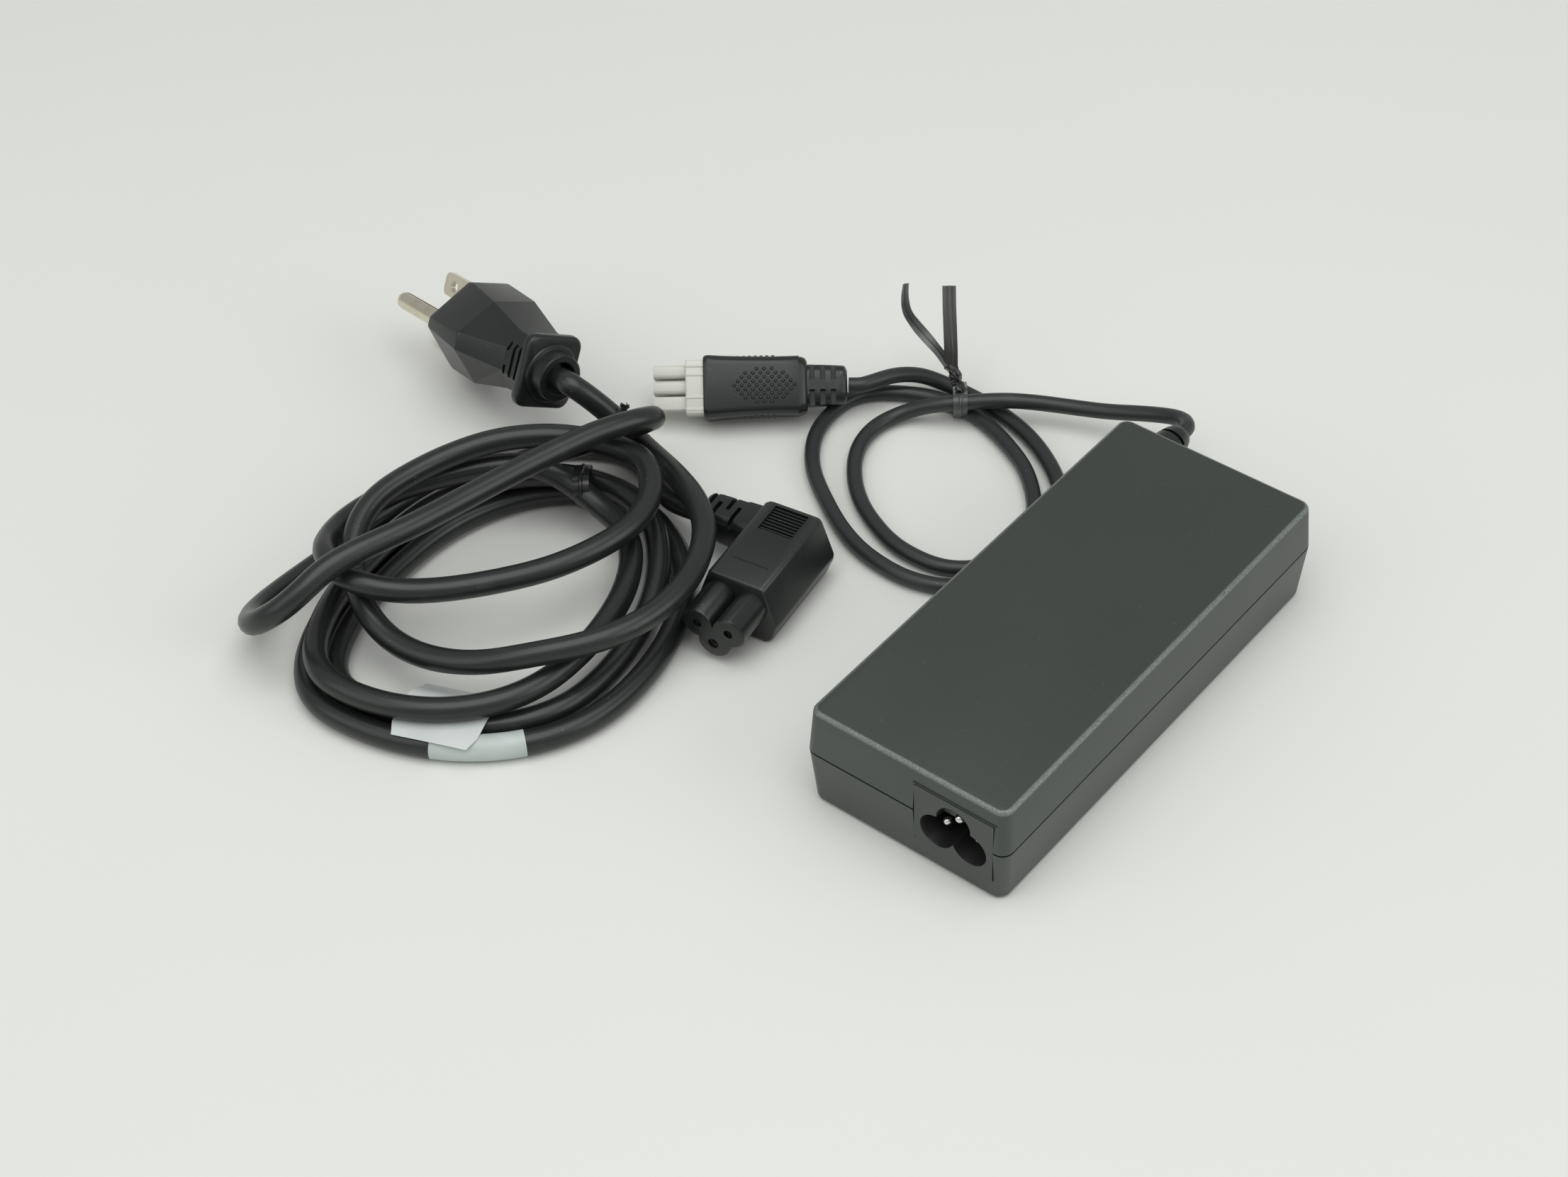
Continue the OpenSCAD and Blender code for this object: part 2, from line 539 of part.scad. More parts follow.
// a flat tie pulled round strands at the given places, open where it meets the surface
module band(q, r, w) {
  translate([-w / 2, 0, 0]) rotate([90, 0, 90]) linear_extrude(w) difference() {
    intersection() {
      hull() for (p = q) translate(p) circle(r = r + 0.65, $fn = 32);
      translate([-30, 0.02]) square([60, 60]);
    }
    hull() for (p = q) translate(p) circle(r = r + 0.15, $fn = 32);
  }
}
// a straight piece of flat tie from one point to another
module strip(a, b, w) {
  hull() for (p = [a, b]) translate(p) rotate([0, 0, -51]) cube([w, 0.6, 0.6], center = true);
}
module dc_tie() {
  color([0.08, 0.08, 0.08]) translate(shift) {
    translate([67, 80, 0]) rotate([0, 0, -53.1])
      band([[-2.3, 7.3], [1.3, 2.2], [8.3, 2.4]], dc_r, 3.2);
    strip([65.4, 79, 10], [68, 83.5, 13], 3.2);
    strip([68, 83.5, 13], [80, 93.5, 28], 3.2);
    strip([68, 83.5, 13], [69.5, 99, 22], 2.4);
    strip([69.5, 99, 22], [74, 103, 28], 2.4);
  }
}

// ---------- low-voltage plug ----------
module dc_plug_boot() {
  color([0.16, 0.17, 0.17]) translate(shift) dc_place() difference() {
    union() {
      translate([0, 0, 0]) bar(dcp_boot_l, 9.4, 8.6, 2.6);
      translate([dcp_boot_l - 3.4, 0, 0]) bar(3.4, 11.2, 9.6, 2.6);
    }
    for (x = [1.6, 4.6, 7.6], s = [-1, 1]) {
      translate([x, s * 3.4, 2.6]) cube([1.1, 3.6, 4], center = true);
      translate([x, s * 5, 0]) cube([1.1, 1.8, 5], center = true);
      translate([x, s * 3.4, -2.6]) cube([1.1, 3.6, 4], center = true);
    }
  }
}
module dc_plug_overmould() {
  color([0.18, 0.19, 0.19]) translate(shift) dc_place() difference() {
    hull() {
      translate([dcp_boot_l, 0, 0]) bar(0.1, dcp_w - 4.5, dcp_t - 3, 2.4, $fn = 32);
      translate([dcp_boot_l + 2, 0, 0]) bar(0.1, dcp_w - 1.6, dcp_t, 3, $fn = 32);
      translate([dcp_boot_l + dcp_l - 1.2, 0, 0]) bar(0.1, dcp_w, dcp_t, 3, $fn = 32);
      translate([dcp_boot_l + dcp_l - 0.1, 0, 0]) bar(0.1, dcp_w - 1, dcp_t - 1, 2.6, $fn = 32);
    }
    translate([dcp_boot_l + dcp_l - 8, -3 * dcp_pitch / 2 - 0.3, -dcp_pitch - 0.2])
      cube([9, 3 * dcp_pitch + 0.6, 2 * dcp_pitch + 0.4]);
  }
}
module dc_connector_housing() {
  x2 = dcp_boot_l + dcp_l;
  color([0.9, 0.9, 0.86]) translate(shift) dc_place() difference() {
    union() {
      translate([x2 - 8, -3 * dcp_pitch / 2 - 0.3, -dcp_pitch - 0.2])
        cube([8, 3 * dcp_pitch + 0.6, 2 * dcp_pitch + 0.4]);
      translate([x2, -7.4, -5.2]) cube([dcp_collar_l, 14.8, 10.4]);
      for (i = [-1, 0, 1], j = [-0.5, 0.5])
        translate([x2 + dcp_collar_l, i * dcp_pitch - dcp_silo / 2, j * dcp_pitch - dcp_silo / 2])
          cube([dcp_silo_l, dcp_silo, dcp_silo]);
    }
    for (i = [-1, 0, 1], j = [-0.5, 0.5])
      translate([x2 - 6, i * dcp_pitch - 1.25, j * dcp_pitch - 1.25])
        cube([dcp_collar_l + dcp_silo_l + 8, 2.5, 2.5]);
  }
}
module dc_terminals() {
  x2 = dcp_boot_l + dcp_l;
  color([0.8, 0.7, 0.45]) translate(shift) dc_place()
    for (i = [-1, 0, 1], j = [-0.5, 0.5])
      translate([x2 - 6, i * dcp_pitch, j * dcp_pitch]) difference() {
        translate([0, -1.25, -1.25]) cube([15, 2.5, 2.5]);
        translate([6, -0.8, -0.8]) cube([12, 1.6, 1.6]);
      }
}

// ---------- mains lead ----------
module mains_cord_tail() {
  color([0.17, 0.18, 0.18]) translate(shift) tube(ac_path, 0, ac_i1, ac_r, 8, ac_ends);
}
module mains_cord_coil() {
  color([0.17, 0.18, 0.18]) translate(shift) tube(ac_path, ac_i1, ac_i2, ac_r, 6, ac_ends);
}
module mains_cord_loose_turns() {
  color([0.17, 0.18, 0.18]) translate(shift) tube(ac_path, ac_i2, ac_i3, ac_r, 6, ac_ends);
}
module mains_cord_lead() {
  color([0.17, 0.18, 0.18]) translate(shift) tube(ac_path, ac_i3, len(ac_path) - 1, ac_r, 8, ac_ends);
}
module boot_root() {
  translate([con_boot_u, con_w / 2 - 4, con_axis]) rotate([0, 0, 90]) bar(9, 9.4, 11, 2.4);
}
module connector_boot() {
  color([0.17, 0.18, 0.18]) translate(shift) con_place() difference() {
    union() {
      boot_root();
      translate([con_boot_u, con_w / 2, con_axis]) rotate([0, 0, 90])
        bar(con_boot_v - con_w / 2, 9, 9, 2.4);
    }
    for (y = [con_boot_v - 2.6, con_boot_v - 5.6], s = [-1, 1]) {
      translate([con_boot_u + s * 3.6, y, con_axis + 3.6]) cube([3.4, 1.1, 4], center = true);
      translate([con_boot_u + s * 3.6, y, con_axis - 3.6]) cube([3.4, 1.1, 4], center = true);
    }
  }
}
module connector_body() {
  h = con_h;
  w = con_w / 2;
  color([0.18, 0.19, 0.19]) translate(shift) con_place() difference() {
    translate([-con_l / 2, 0, 0]) rotate([90, 0, 90]) linear_extrude(con_l)
      polygon([[-w + 2.6, 0.2], [w - 2.6, 0.2], [w - 0.3, 4.6], [w, 6.6], [w - 0.3, 8], [8.6, h - 1.2],
        [7.6, h - 0.2], [6.8, h], [-6.8, h], [-7.6, h - 0.2], [-8.6, h - 1.2], [-w + 0.3, 8], [-w, 6.6],
        [-w + 0.3, 4.6]]);
    boot_root();
    for (i = [0 : 6]) translate([4, -4.6 + i * 1.3, h - 1]) cube([9, 0.8, 2]);
    translate([4, -4.6, h - 0.4]) cube([9, 9.2, 2]);
    for (x = [-1, 1], y = [-1, 1]) translate([x * (con_l / 2 - 2), y * (w - 2), -1]) difference() {
      translate([x > 0 ? 0 : -4, y > 0 ? 0 : -4, 0]) cube([4, 4, 30]);
      translate([0, 0, -1]) cylinder(r = 2, h = 32);
    }
    for (p = [[-pin_pitch / 2, 0], [pin_pitch / 2, 0], [0, -earth_rise]])
      translate([-con_l / 2 - e, p[0], con_axis + 2 + p[1]]) rotate([0, 90, 0]) cylinder(d = 3.6, h = 6);
  }
}
module connector_nose() {
  color([0.14, 0.15, 0.15]) translate(shift) con_place() difference() {
    translate([-con_l / 2 - nose_l, 0, con_axis + 2]) rotate([90, 0, 90])
      linear_extrude(nose_l) lobes_down(nose_lobe_r, pin_pitch, earth_rise);
    for (p = [[-pin_pitch / 2, 0], [pin_pitch / 2, 0], [0, -earth_rise]])
      translate([-con_l / 2 - nose_l - 1, p[0], con_axis + 2 + p[1]]) rotate([0, 90, 0])
        cylinder(d = nose_bore, h = nose_l + 2);
  }
}
module lobes_down(r, pitch, rise) {
  mirror([0, 1]) lobes(r, pitch, rise);
}
module contact(dy, dz) {
  color([0.8, 0.7, 0.45]) translate(shift) con_place()
    translate([-con_l / 2 - nose_l + 1.2, dy, con_axis + 2 + dz]) rotate([0, 90, 0]) difference() {
      cylinder(d = nose_bore, h = nose_l + 4);
      translate([0, 0, -1]) cylinder(d = pin_d, h = nose_l);
    }
}
module contact_line() {
  contact(-pin_pitch / 2, 0);
}
module contact_neutral() {
  contact(pin_pitch / 2, 0);
}
module contact_earth() {
  contact(0, -earth_rise);
}
module mains_tie() {
  color([0.08, 0.08, 0.08]) translate(shift) translate([-20, 136, 0]) rotate([0, 0, -51.5])
    band([[2, 3.2], [0.2, 10]], ac_r, 4);
}
// the label lies over the two strands on the surface and comes down inside them
module flag_edge(inward, z) {
  translate([-106, 96, z]) rotate([0, 0, 21.5]) translate([inward, 0, 0]) cube([0.2, 21.8, 0.1]);
}
module flag_label() {
  color([0.92, 0.92, 0.9]) translate(shift) {
    hull() {
      flag_edge(0, 2 * ac_r + 0.25);
      flag_edge(14.5, 2 * ac_r + 0.25);
    }
    hull() {
      flag_edge(14.5, 2 * ac_r + 0.25);
      flag_edge(23.6, 0);
    }
  }
}

// ---------- mains plug ----------
// the plug's outline, flat on the blades' side and narrow on the earth pin's
module plug_outline(drawn_in) {
  h = plug_w / 2 - drawn_in;
  rotate([90, 0, 90]) linear_extrude(0.1) hull() for (s = [-1, 1]) {
    translate([-h + 2.6, s * (h - 2.6)]) circle(r = 2.2, $fn = 16);
    translate([0.4, s * (h - 2.1)]) circle(r = 1.8, $fn = 16);
    translate([h - 1.2, s * 1.2]) circle(r = 1.4, $fn = 16);
  }
}
module mains_plug_body() {
  color([0.18, 0.19, 0.19]) translate(shift) plug_place() {
    bar(4.6, flange_w, flange_w, 4);
    difference() {
      hull() {
        translate([4.6, 0, 0]) bar(0.1, 15.4, 15.4, 1.6, $fn = 24);
        translate([9, 0, 0]) bar(0.1, 16.4, 16.4, 1.6, $fn = 24);
        translate([23, 0, 0]) plug_outline(0);
        translate([plug_l - 1.6, 0, 0]) plug_outline(0.1);
        translate([plug_l - 0.1, 0, 0]) plug_outline(1.4);
      }
      translate([plug_l - 10, 0, 0]) {
        for (s = [-1, 1]) translate([0, -5.4 - blade_w / 2 + blade_w / 2 - blade_t / 2, s * 6.35 - blade_w / 2])
          cube([12, blade_t, blade_w]);
      }
    }
  }
}
module mains_plug_boss() {
  color([0.16, 0.17, 0.17]) translate(shift) plug_place() translate([-plug_back, 0, 0])
    rotate([0, 90, 0]) {
      cylinder(r = 6.4, h = 2.5);
      translate([0, 0, 2.5]) cylinder(r = 7.6, h = plug_back - 2.5);
    }
}
module earth_pin() {
  color([0.8, 0.74, 0.55]) translate(shift) plug_place() translate([plug_l, 6.5, 0])
    rotate([0, 90, 0]) {
      cylinder(d = gpin_d, h = gpin_l - gpin_d / 2);
      translate([0, 0, gpin_l - gpin_d / 2]) sphere(d = gpin_d);
    }
}
module blade(s) {
  color([0.8, 0.74, 0.55]) translate(shift) plug_place()
    translate([plug_l - 10, -5.4 - blade_t / 2, s * 6.35 - blade_w / 2]) difference() {
      cube([10 + blade_l, blade_t, blade_w]);
      translate([10 + blade_l - 4.5, -1, blade_w / 2]) rotate([-90, 0, 0]) cylinder(d = 3, h = 4);
    }
}
module blade_line() {
  blade(1);
}
module blade_neutral() {
  blade(-1);
}

// ---------- drawing ----------
bottom_cover();
top_cover();
inlet_housing();
inlet_pin_line();
inlet_pin_neutral();
inlet_pin_earth();
inlet_lead_line();
inlet_lead_neutral();
inlet_lead_earth();
circuit_board();
fuse();
varistor();
x_capacitor();
common_mode_choke();
bridge_rectifier();
bulk_capacitor();
transformer_core();
transformer_winding();
primary_heatsink();
power_transistor();
y_capacitor();
optocoupler();
controller_chip();
secondary_heatsink();
output_rectifier();
output_capacitor_a();
output_capacitor_b();
output_choke();
output_lead_positive();
output_lead_return();
thermal_pad();
insulating_sheet();
shield_plate();
dc_boot();
dc_cord_exit();
dc_cord_coil();
dc_cord_lead();
dc_tie();
dc_plug_boot();
dc_plug_overmould();
dc_connector_housing();
dc_terminals();
connector_body();
connector_nose();
connector_boot();
flag_label();
contact_line();
contact_neutral();
contact_earth();
mains_cord_tail();
mains_cord_coil();
mains_cord_loose_turns();
mains_cord_lead();
mains_tie();
mains_plug_boss();
mains_plug_body();
earth_pin();
blade_line();
blade_neutral();
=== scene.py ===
"""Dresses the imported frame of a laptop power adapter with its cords, plugs and loose mains lead.

Sizes are millimetres in the part's own frame; every finished mesh is stored in metres.
"""
from __future__ import annotations

import json
import logging
import math
from dataclasses import dataclass, field
from enum import Enum
from typing import Callable, Iterable, Sequence

import bmesh
import bpy
from mathutils import Matrix, Vector

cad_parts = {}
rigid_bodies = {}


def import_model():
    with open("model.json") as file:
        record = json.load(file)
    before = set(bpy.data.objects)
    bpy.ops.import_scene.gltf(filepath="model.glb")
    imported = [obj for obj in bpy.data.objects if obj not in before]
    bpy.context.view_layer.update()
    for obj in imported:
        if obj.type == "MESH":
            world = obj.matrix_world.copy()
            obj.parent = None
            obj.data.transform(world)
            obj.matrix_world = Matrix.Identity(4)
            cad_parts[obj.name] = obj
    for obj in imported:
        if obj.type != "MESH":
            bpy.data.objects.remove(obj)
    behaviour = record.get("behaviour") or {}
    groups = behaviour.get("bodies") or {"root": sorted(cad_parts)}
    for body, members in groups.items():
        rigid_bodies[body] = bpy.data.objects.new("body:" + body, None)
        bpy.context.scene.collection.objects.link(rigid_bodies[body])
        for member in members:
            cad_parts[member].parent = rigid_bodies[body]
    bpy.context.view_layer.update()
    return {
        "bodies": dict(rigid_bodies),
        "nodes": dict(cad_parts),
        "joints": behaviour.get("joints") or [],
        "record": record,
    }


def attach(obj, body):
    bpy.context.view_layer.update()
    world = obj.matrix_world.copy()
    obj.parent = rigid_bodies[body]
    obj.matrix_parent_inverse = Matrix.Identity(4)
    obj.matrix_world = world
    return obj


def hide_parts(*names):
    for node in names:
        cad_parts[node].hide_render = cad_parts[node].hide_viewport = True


LOG = logging.getLogger("adapter")
MM = 0.001
Pair = tuple[float, float]
Colour = tuple[float, float, float]
Point = Sequence[float]
Shape = bmesh.types.BMesh
Thing = bpy.types.Object
Socket = bpy.types.NodeSocket


class Body(Enum):
    """The two bodies that pieces ride on."""

    ADAPTER = "adapter"
    LEAD = "mains_lead"


# --- shaders


class Sheet:
    """A node tree with short calls for adding and joining nodes."""

    def __init__(self, tree: bpy.types.NodeTree) -> None:
        """Keeps the tree that the nodes go to."""
        self.tree = tree

    def add(self, kind: str, **values: object) -> bpy.types.Node:
        """Adds a node.

        Args:
            kind: its type name, less the ShaderNode that most start with.
            values: its settings, such as operation.

        Returns:
            The node.
        """
        prefix = "" if kind.startswith("NodeGroup") else "ShaderNode"
        node = self.tree.nodes.new(prefix + kind)
        for key, value in values.items():
            setattr(node, key, value)
        return node

    def feed(self, socket: Socket, value: object) -> None:
        """Joins an output to an input, or sets the input.

        Args:
            socket: the input.
            value: an output, a number or a colour.
        """
        if isinstance(value, Socket):
            self.tree.links.new(value, socket)
        else:
            socket.default_value = (*value, 1.0) if isinstance(value, tuple) else value

    def named(self, node: bpy.types.Node, **values: object) -> bpy.types.Node:
        """Feeds a node's inputs by name.

        Args:
            node: the node.
            values: its inputs, with _ for a space in their names.

        Returns:
            The node.
        """
        for key, value in values.items():
            self.feed(node.inputs[key.replace("_", " ")], value)
        return node

    def math(self, operation: str, *values: object) -> Socket:
        """Adds a Math node.

        Args:
            operation: what it works out.
            values: its inputs in order, numbers or outputs.

        Returns:
            Its output.
        """
        node = self.add("Math", operation=operation)
        for socket, value in zip(node.inputs, values):
            self.feed(socket, value)
        return node.outputs[0]

    def clamp(self, value: Socket) -> Socket:
        """Holds a value between 0 and 1."""
        return self.math("MINIMUM", self.math("MAXIMUM", value, 0.0), 1.0)

    def mix(self, share: object, a: object, b: object) -> Socket:
        """Mixes two colours.

        Args:
            share: how much of the second colour shows.
            a: first colour.
            b: second colour.

        Returns:
            The mixed colour.
        """
        node = self.add("Mix", data_type="RGBA")
        for i, value in ((0, share), (6, a), (7, b)):
            self.feed(node.inputs[i], value)
        return node.outputs[2]

    def noise(self, place: Socket, scale: object, detail: float) -> Socket:
        """Gives a noise pattern, at a scale in features per metre."""
        node = self.named(self.add("TexNoise"), Vector=place, Scale=scale, Detail=detail)
        return node.outputs["Fac"]

    def cells(self, place: Socket, scale: object) -> Socket:
        """Gives the distance to the nearest of scattered spots."""
        return self.named(self.add("TexVoronoi"), Vector=place, Scale=scale).outputs["Distance"]


class Effect(Enum):
    """The shared effects, by the name of their node group."""

    GRAIN = "moulded_grain"
    DRIFT = "tone_drift"
    SCUFFS_AND_CREASES = "light_scuffs"
    DUST = "dust_specks"


# Inputs and outputs of each group; the drift group's last two inputs are a mask and the extra tone
# that it mixes in: scuffs, painted crease shade, painted highlight and painted sheen.
SOCKETS = {
    Effect.GRAIN: ("Vector Scale Coarse", "Height Mask"),
    Effect.DRIFT: ("Vector Scale First Second Rub Rubbed", "Color"),
    Effect.SCUFFS_AND_CREASES: ("Vector Scale Amount", "Mask"),
    Effect.DUST: ("Vector Scale Amount", "Mask"),
}
KINDS = {name: "Color" for name in ("First", "Second", "Rubbed", "Color")} | {"Vector": "Vector"}


def effect_tree(effect: Effect) -> bpy.types.NodeTree:
    """Gives an effect's node group, built once.

    Args:
        effect: which effect.

    Returns:
        The node group.
    """
    found = bpy.data.node_groups.get(effect.value)
    if found is not None:
        return found
    tree = bpy.data.node_groups.new(effect.value, "ShaderNodeTree")
    for way, names in zip(("INPUT", "OUTPUT"), SOCKETS[effect]):
        for name in names.split():
            kind = "NodeSocket" + KINDS.get(name, "Float")
            tree.interface.new_socket(name=name, in_out=way, socket_type=kind)
    sheet = Sheet(tree)
    given, end = sheet.add("NodeGroupInput").outputs, sheet.add("NodeGroupOutput")
    place, scale = given["Vector"], given["Scale"]
    if effect is Effect.GRAIN:
        pits = sheet.cells(place, sheet.math("MULTIPLY", scale, 0.7))
        height = sheet.math(
            "ADD", sheet.noise(place, scale, 3.0), sheet.math("MULTIPLY", pits, given["Coarse"])
        )
        broad = sheet.noise(place, sheet.math("MULTIPLY", scale, 0.012), 4.0)
        sheet.named(end, Height=height, Mask=broad)
    elif effect is Effect.DRIFT:
        share = sheet.math("MULTIPLY_ADD", sheet.noise(place, scale, 5.0), 2.2, -0.6)
        base = sheet.mix(sheet.clamp(share), given["First"], given["Second"])
        # Speckled mix toward the extra tone: scuffs, painted crease shade on labels, painted
        # highlight on the case rim and painted sheen on the mains plug.
        speck = sheet.noise(place, sheet.math("MULTIPLY", scale, 60.0), 2.0)
        wear_shade_and_highlight = sheet.math("MULTIPLY", given["Rub"], sheet.math("MULTIPLY_ADD", speck, 1.6, -0.2))
        wear_shade_and_highlight = sheet.math("MAXIMUM", wear_shade_and_highlight, 0.0)
        sheet.named(end, Color=sheet.mix(wear_shade_and_highlight, base, given["Rubbed"]))
    elif effect is Effect.SCUFFS_AND_CREASES:
        # Stretched line pattern: scuffs on cords, metal and ties, creases on labels.
        stretch = sheet.add("VectorMath", operation="MULTIPLY")
        sheet.feed(stretch.inputs[0], place)
        stretch.inputs[1].default_value = (1.0, 0.12, 0.6)
        lines = sheet.noise(stretch.outputs[0], scale, 6.0)
        edge = sheet.clamp(sheet.math("MULTIPLY_ADD", lines, 9.0, -5.4))
        sheet.named(end, Mask=sheet.math("MULTIPLY", edge, given["Amount"]))
    else:
        near = sheet.math("LESS_THAN", sheet.cells(place, scale), 0.09)
        rare = sheet.math("GREATER_THAN", sheet.noise(place, scale, 1.0), 0.6)
        dots = sheet.math("MULTIPLY", near, rare)
        sheet.named(end, Mask=sheet.math("MULTIPLY", dots, given["Amount"]))
    return tree


class Coat(Sheet):
    """A material that is being built round one Principled BSDF."""

    def __init__(self, name: str) -> None:
        """Makes the material and its shader.

        Args:
            name: the material's name.
        """
        self.material = bpy.data.materials.new(name)
        self.material.use_nodes = True
        super().__init__(self.material.node_tree)
        self.tree.nodes.clear()
        self.shader = self.add("BsdfPrincipled")
        self.named(self.add("OutputMaterial"), Surface=self.shader.outputs[0])
        self.place = self.add("TexCoord").outputs["Object"]

    def effect(self, effect: Effect, output: str, **values: object) -> Socket:
        """Places a shared effect.

        Args:
            effect: which effect.
            output: which of its outputs is given.
            values: its inputs by name.

        Returns:
            The output.
        """
        node = self.add("Group")
        node.node_tree = effect_tree(effect)
        return self.named(node, Vector=self.place, **values).outputs[output]


# --- finishes


@dataclass(frozen=True)
class Finish:
    """What every finish has: two drifting tones, a speckled extra tone for scuffs, painted crease
    shade, painted highlight and painted sheen, specks, grain and shine.
    """

    name: str
    slot: str
    first: Colour
    second: Colour
    # Extra tone: scuff colour, painted crease shade on labels, painted highlight on the case rim,
    # painted sheen on the mains plug.
    rubbed: Colour | None = None
    roughness: float = 0.5
    swing: float = 0.12
    drift: float = 38.0
    scuff_scale: float = 0.0
    scuffs: float = 0.5
    dust_scale: float = 0.0
    dust: float = 0.0
    grain: float = 2600.0
    coarse: float = 0.1
    strength: float = 0.1
    depth: float = 0.03
    specular: float = 0.5
    metallic: float = 0.0
    clearness: float = 0.0

    def wear_shade_and_highlight_mask(self, coat: Coat) -> Socket:
        """Gives the mask for the extra tone: scuff lines, else the mesh's attribute of painted
        highlight, painted sheen and lighter edges.

        Args:
            coat: the material.

        Returns:
            The mask.
        """
        if self.scuff_scale:
            return coat.effect(Effect.SCUFFS_AND_CREASES, "Mask", Scale=self.scuff_scale, Amount=self.scuffs)
        return coat.add("Attribute", attribute_name="rub").outputs["Fac"]

    def tone(self, coat: Coat) -> Socket:
        """Gives the colour before any specks.

        Args:
            coat: the material.

        Returns:
            The colour.
        """
        return coat.effect(
            Effect.DRIFT, "Color", Scale=self.drift, First=self.first, Second=self.second,
            Rub=self.wear_shade_and_highlight_mask(coat), Rubbed=self.rubbed or self.second,
        )

    def material(self) -> bpy.types.Material:
        """Builds the material.

        Returns:
            The material.
        """
        coat = Coat(self.name)
        colour = self.tone(coat)
        if self.dust_scale:
            specks = coat.effect(Effect.DUST, "Mask", Scale=self.dust_scale, Amount=self.dust)
            colour = coat.mix(specks, colour, DUST_TONE)
        grained = {"Scale": self.grain, "Coarse": self.coarse}
        mask = coat.effect(Effect.GRAIN, "Mask", **grained)
        bump = coat.named(
            coat.add("Bump"), Strength=self.strength, Distance=self.depth * MM,
            Height=coat.effect(Effect.GRAIN, "Height", **grained),
        )
        rough = coat.math("MULTIPLY_ADD", mask, self.swing, self.roughness - self.swing / 2)
        coat.named(
            coat.shader, Base_Color=colour, Roughness=rough, Normal=bump.outputs[0],
            Specular_IOR_Level=self.specular, Metallic=self.metallic,
            Transmission_Weight=self.clearness,
        )
        return coat.material


@dataclass(frozen=True)
class MouldedPlastic(Finish):
    """Moulded plastic with a fine grain, lighter edges and painted highlight where a piece sets
    them, and a few dust specks.
    """

    rubbed: Colour = (0.1, 0.105, 0.1)
    dust_scale: float = 420.0
    dust: float = 0.25
    coarse: float = 0.5
    strength: float = 0.35
    depth: float = 0.05


@dataclass(frozen=True)
class CordJacket(Finish):
    """Extruded soft jacket: smooth and satin, with faint scuffs."""

    rubbed: Colour = (0.06, 0.065, 0.062)
    roughness: float = 0.4
    swing: float = 0.14
    drift: float = 60.0
    scuff_scale: float = 160.0
    scuffs: float = 0.35
    dust_scale: float = 520.0
    dust: float = 0.3
    grain: float = 900.0
    coarse: float = 0.2
    strength: float = 0.12
    depth: float = 0.04


@dataclass(frozen=True)
class PlatedMetal(Finish):
    """Plated or bare metal with fine rubbing lines."""

    swing: float = 0.16
    drift: float = 300.0
    scuff_scale: float = 700.0
    grain: float = 3000.0
    depth: float = 0.01
    metallic: float = 1.0


@dataclass(frozen=True)
class LabelStock(Finish):
    """Coated label paper with faint creases, tinted along them toward a fixed grey: painted crease
    shade on the flag label.
    """

    # Crease tone: darker than the flag label, so painted crease shade there.
    rubbed: Colour = (0.6, 0.62, 0.62)
    roughness: float = 0.42
    swing: float = 0.2
    drift: float = 90.0
    scuff_scale: float = 240.0
    grain: float = 500.0
    coarse: float = 0.3
    strength: float = 0.25
    depth: float = 0.08


@dataclass(frozen=True)
class TieFilm(Finish):
    """Thin half-clear tie film with faint rubbing."""

    roughness: float = 0.3
    swing: float = 0.15
    drift: float = 150.0
    scuff_scale: float = 500.0
    scuffs: float = 0.6
    grain: float = 1200.0
    strength: float = 0.2


@dataclass(frozen=True)
class BoardMask(Finish):
    """Solder mask with tracks showing through."""

    roughness: float = 0.35
    swing: float = 0.1
    drift: float = 80.0
    grain: float = 1500.0
    coarse: float = 0.2

    def tone(self, coat: Coat) -> Socket:
        """Gives the mask's colour over its tracks.

        Args:
            coat: the material.

        Returns:
            The colour.
        """
        tracks = coat.named(
            coat.add("TexBrick"), Vector=coat.place, Scale=90.0, Color1=self.first,
            Color2=self.first, Mortar=self.second, Mortar_Size=0.06,
        )
        return coat.mix(0.4, tracks.outputs["Color"], super().tone(coat))


DUST_TONE = (0.3, 0.3, 0.28)
# The case's last colour, (0.2, 0.23, 0.21), is the painted highlight tone along the top face's rim.
CASE = MouldedPlastic(
    "case_shell", "case_plastic", (0.012, 0.021, 0.0145), (0.015, 0.0245, 0.0175),
    (0.2, 0.23, 0.21), roughness=0.4, grain=2300.0, coarse=0.7, strength=0.4, depth=0.06,
    dust=0.12, specular=0.95,
)
INSERT = MouldedPlastic(
    "inlet_block", "inlet_plastic", (0.012, 0.019, 0.014), (0.015, 0.023, 0.017), roughness=0.4,
    grain=3200.0, strength=0.2, dust=0.1, specular=0.9,
)
SOCKET_DARK = MouldedPlastic(
    "socket_lining", "inlet_plastic", (0.012, 0.0125, 0.012), (0.016, 0.017, 0.016), roughness=0.4,
    grain=3200.0, strength=0.15, dust=0.0,
)
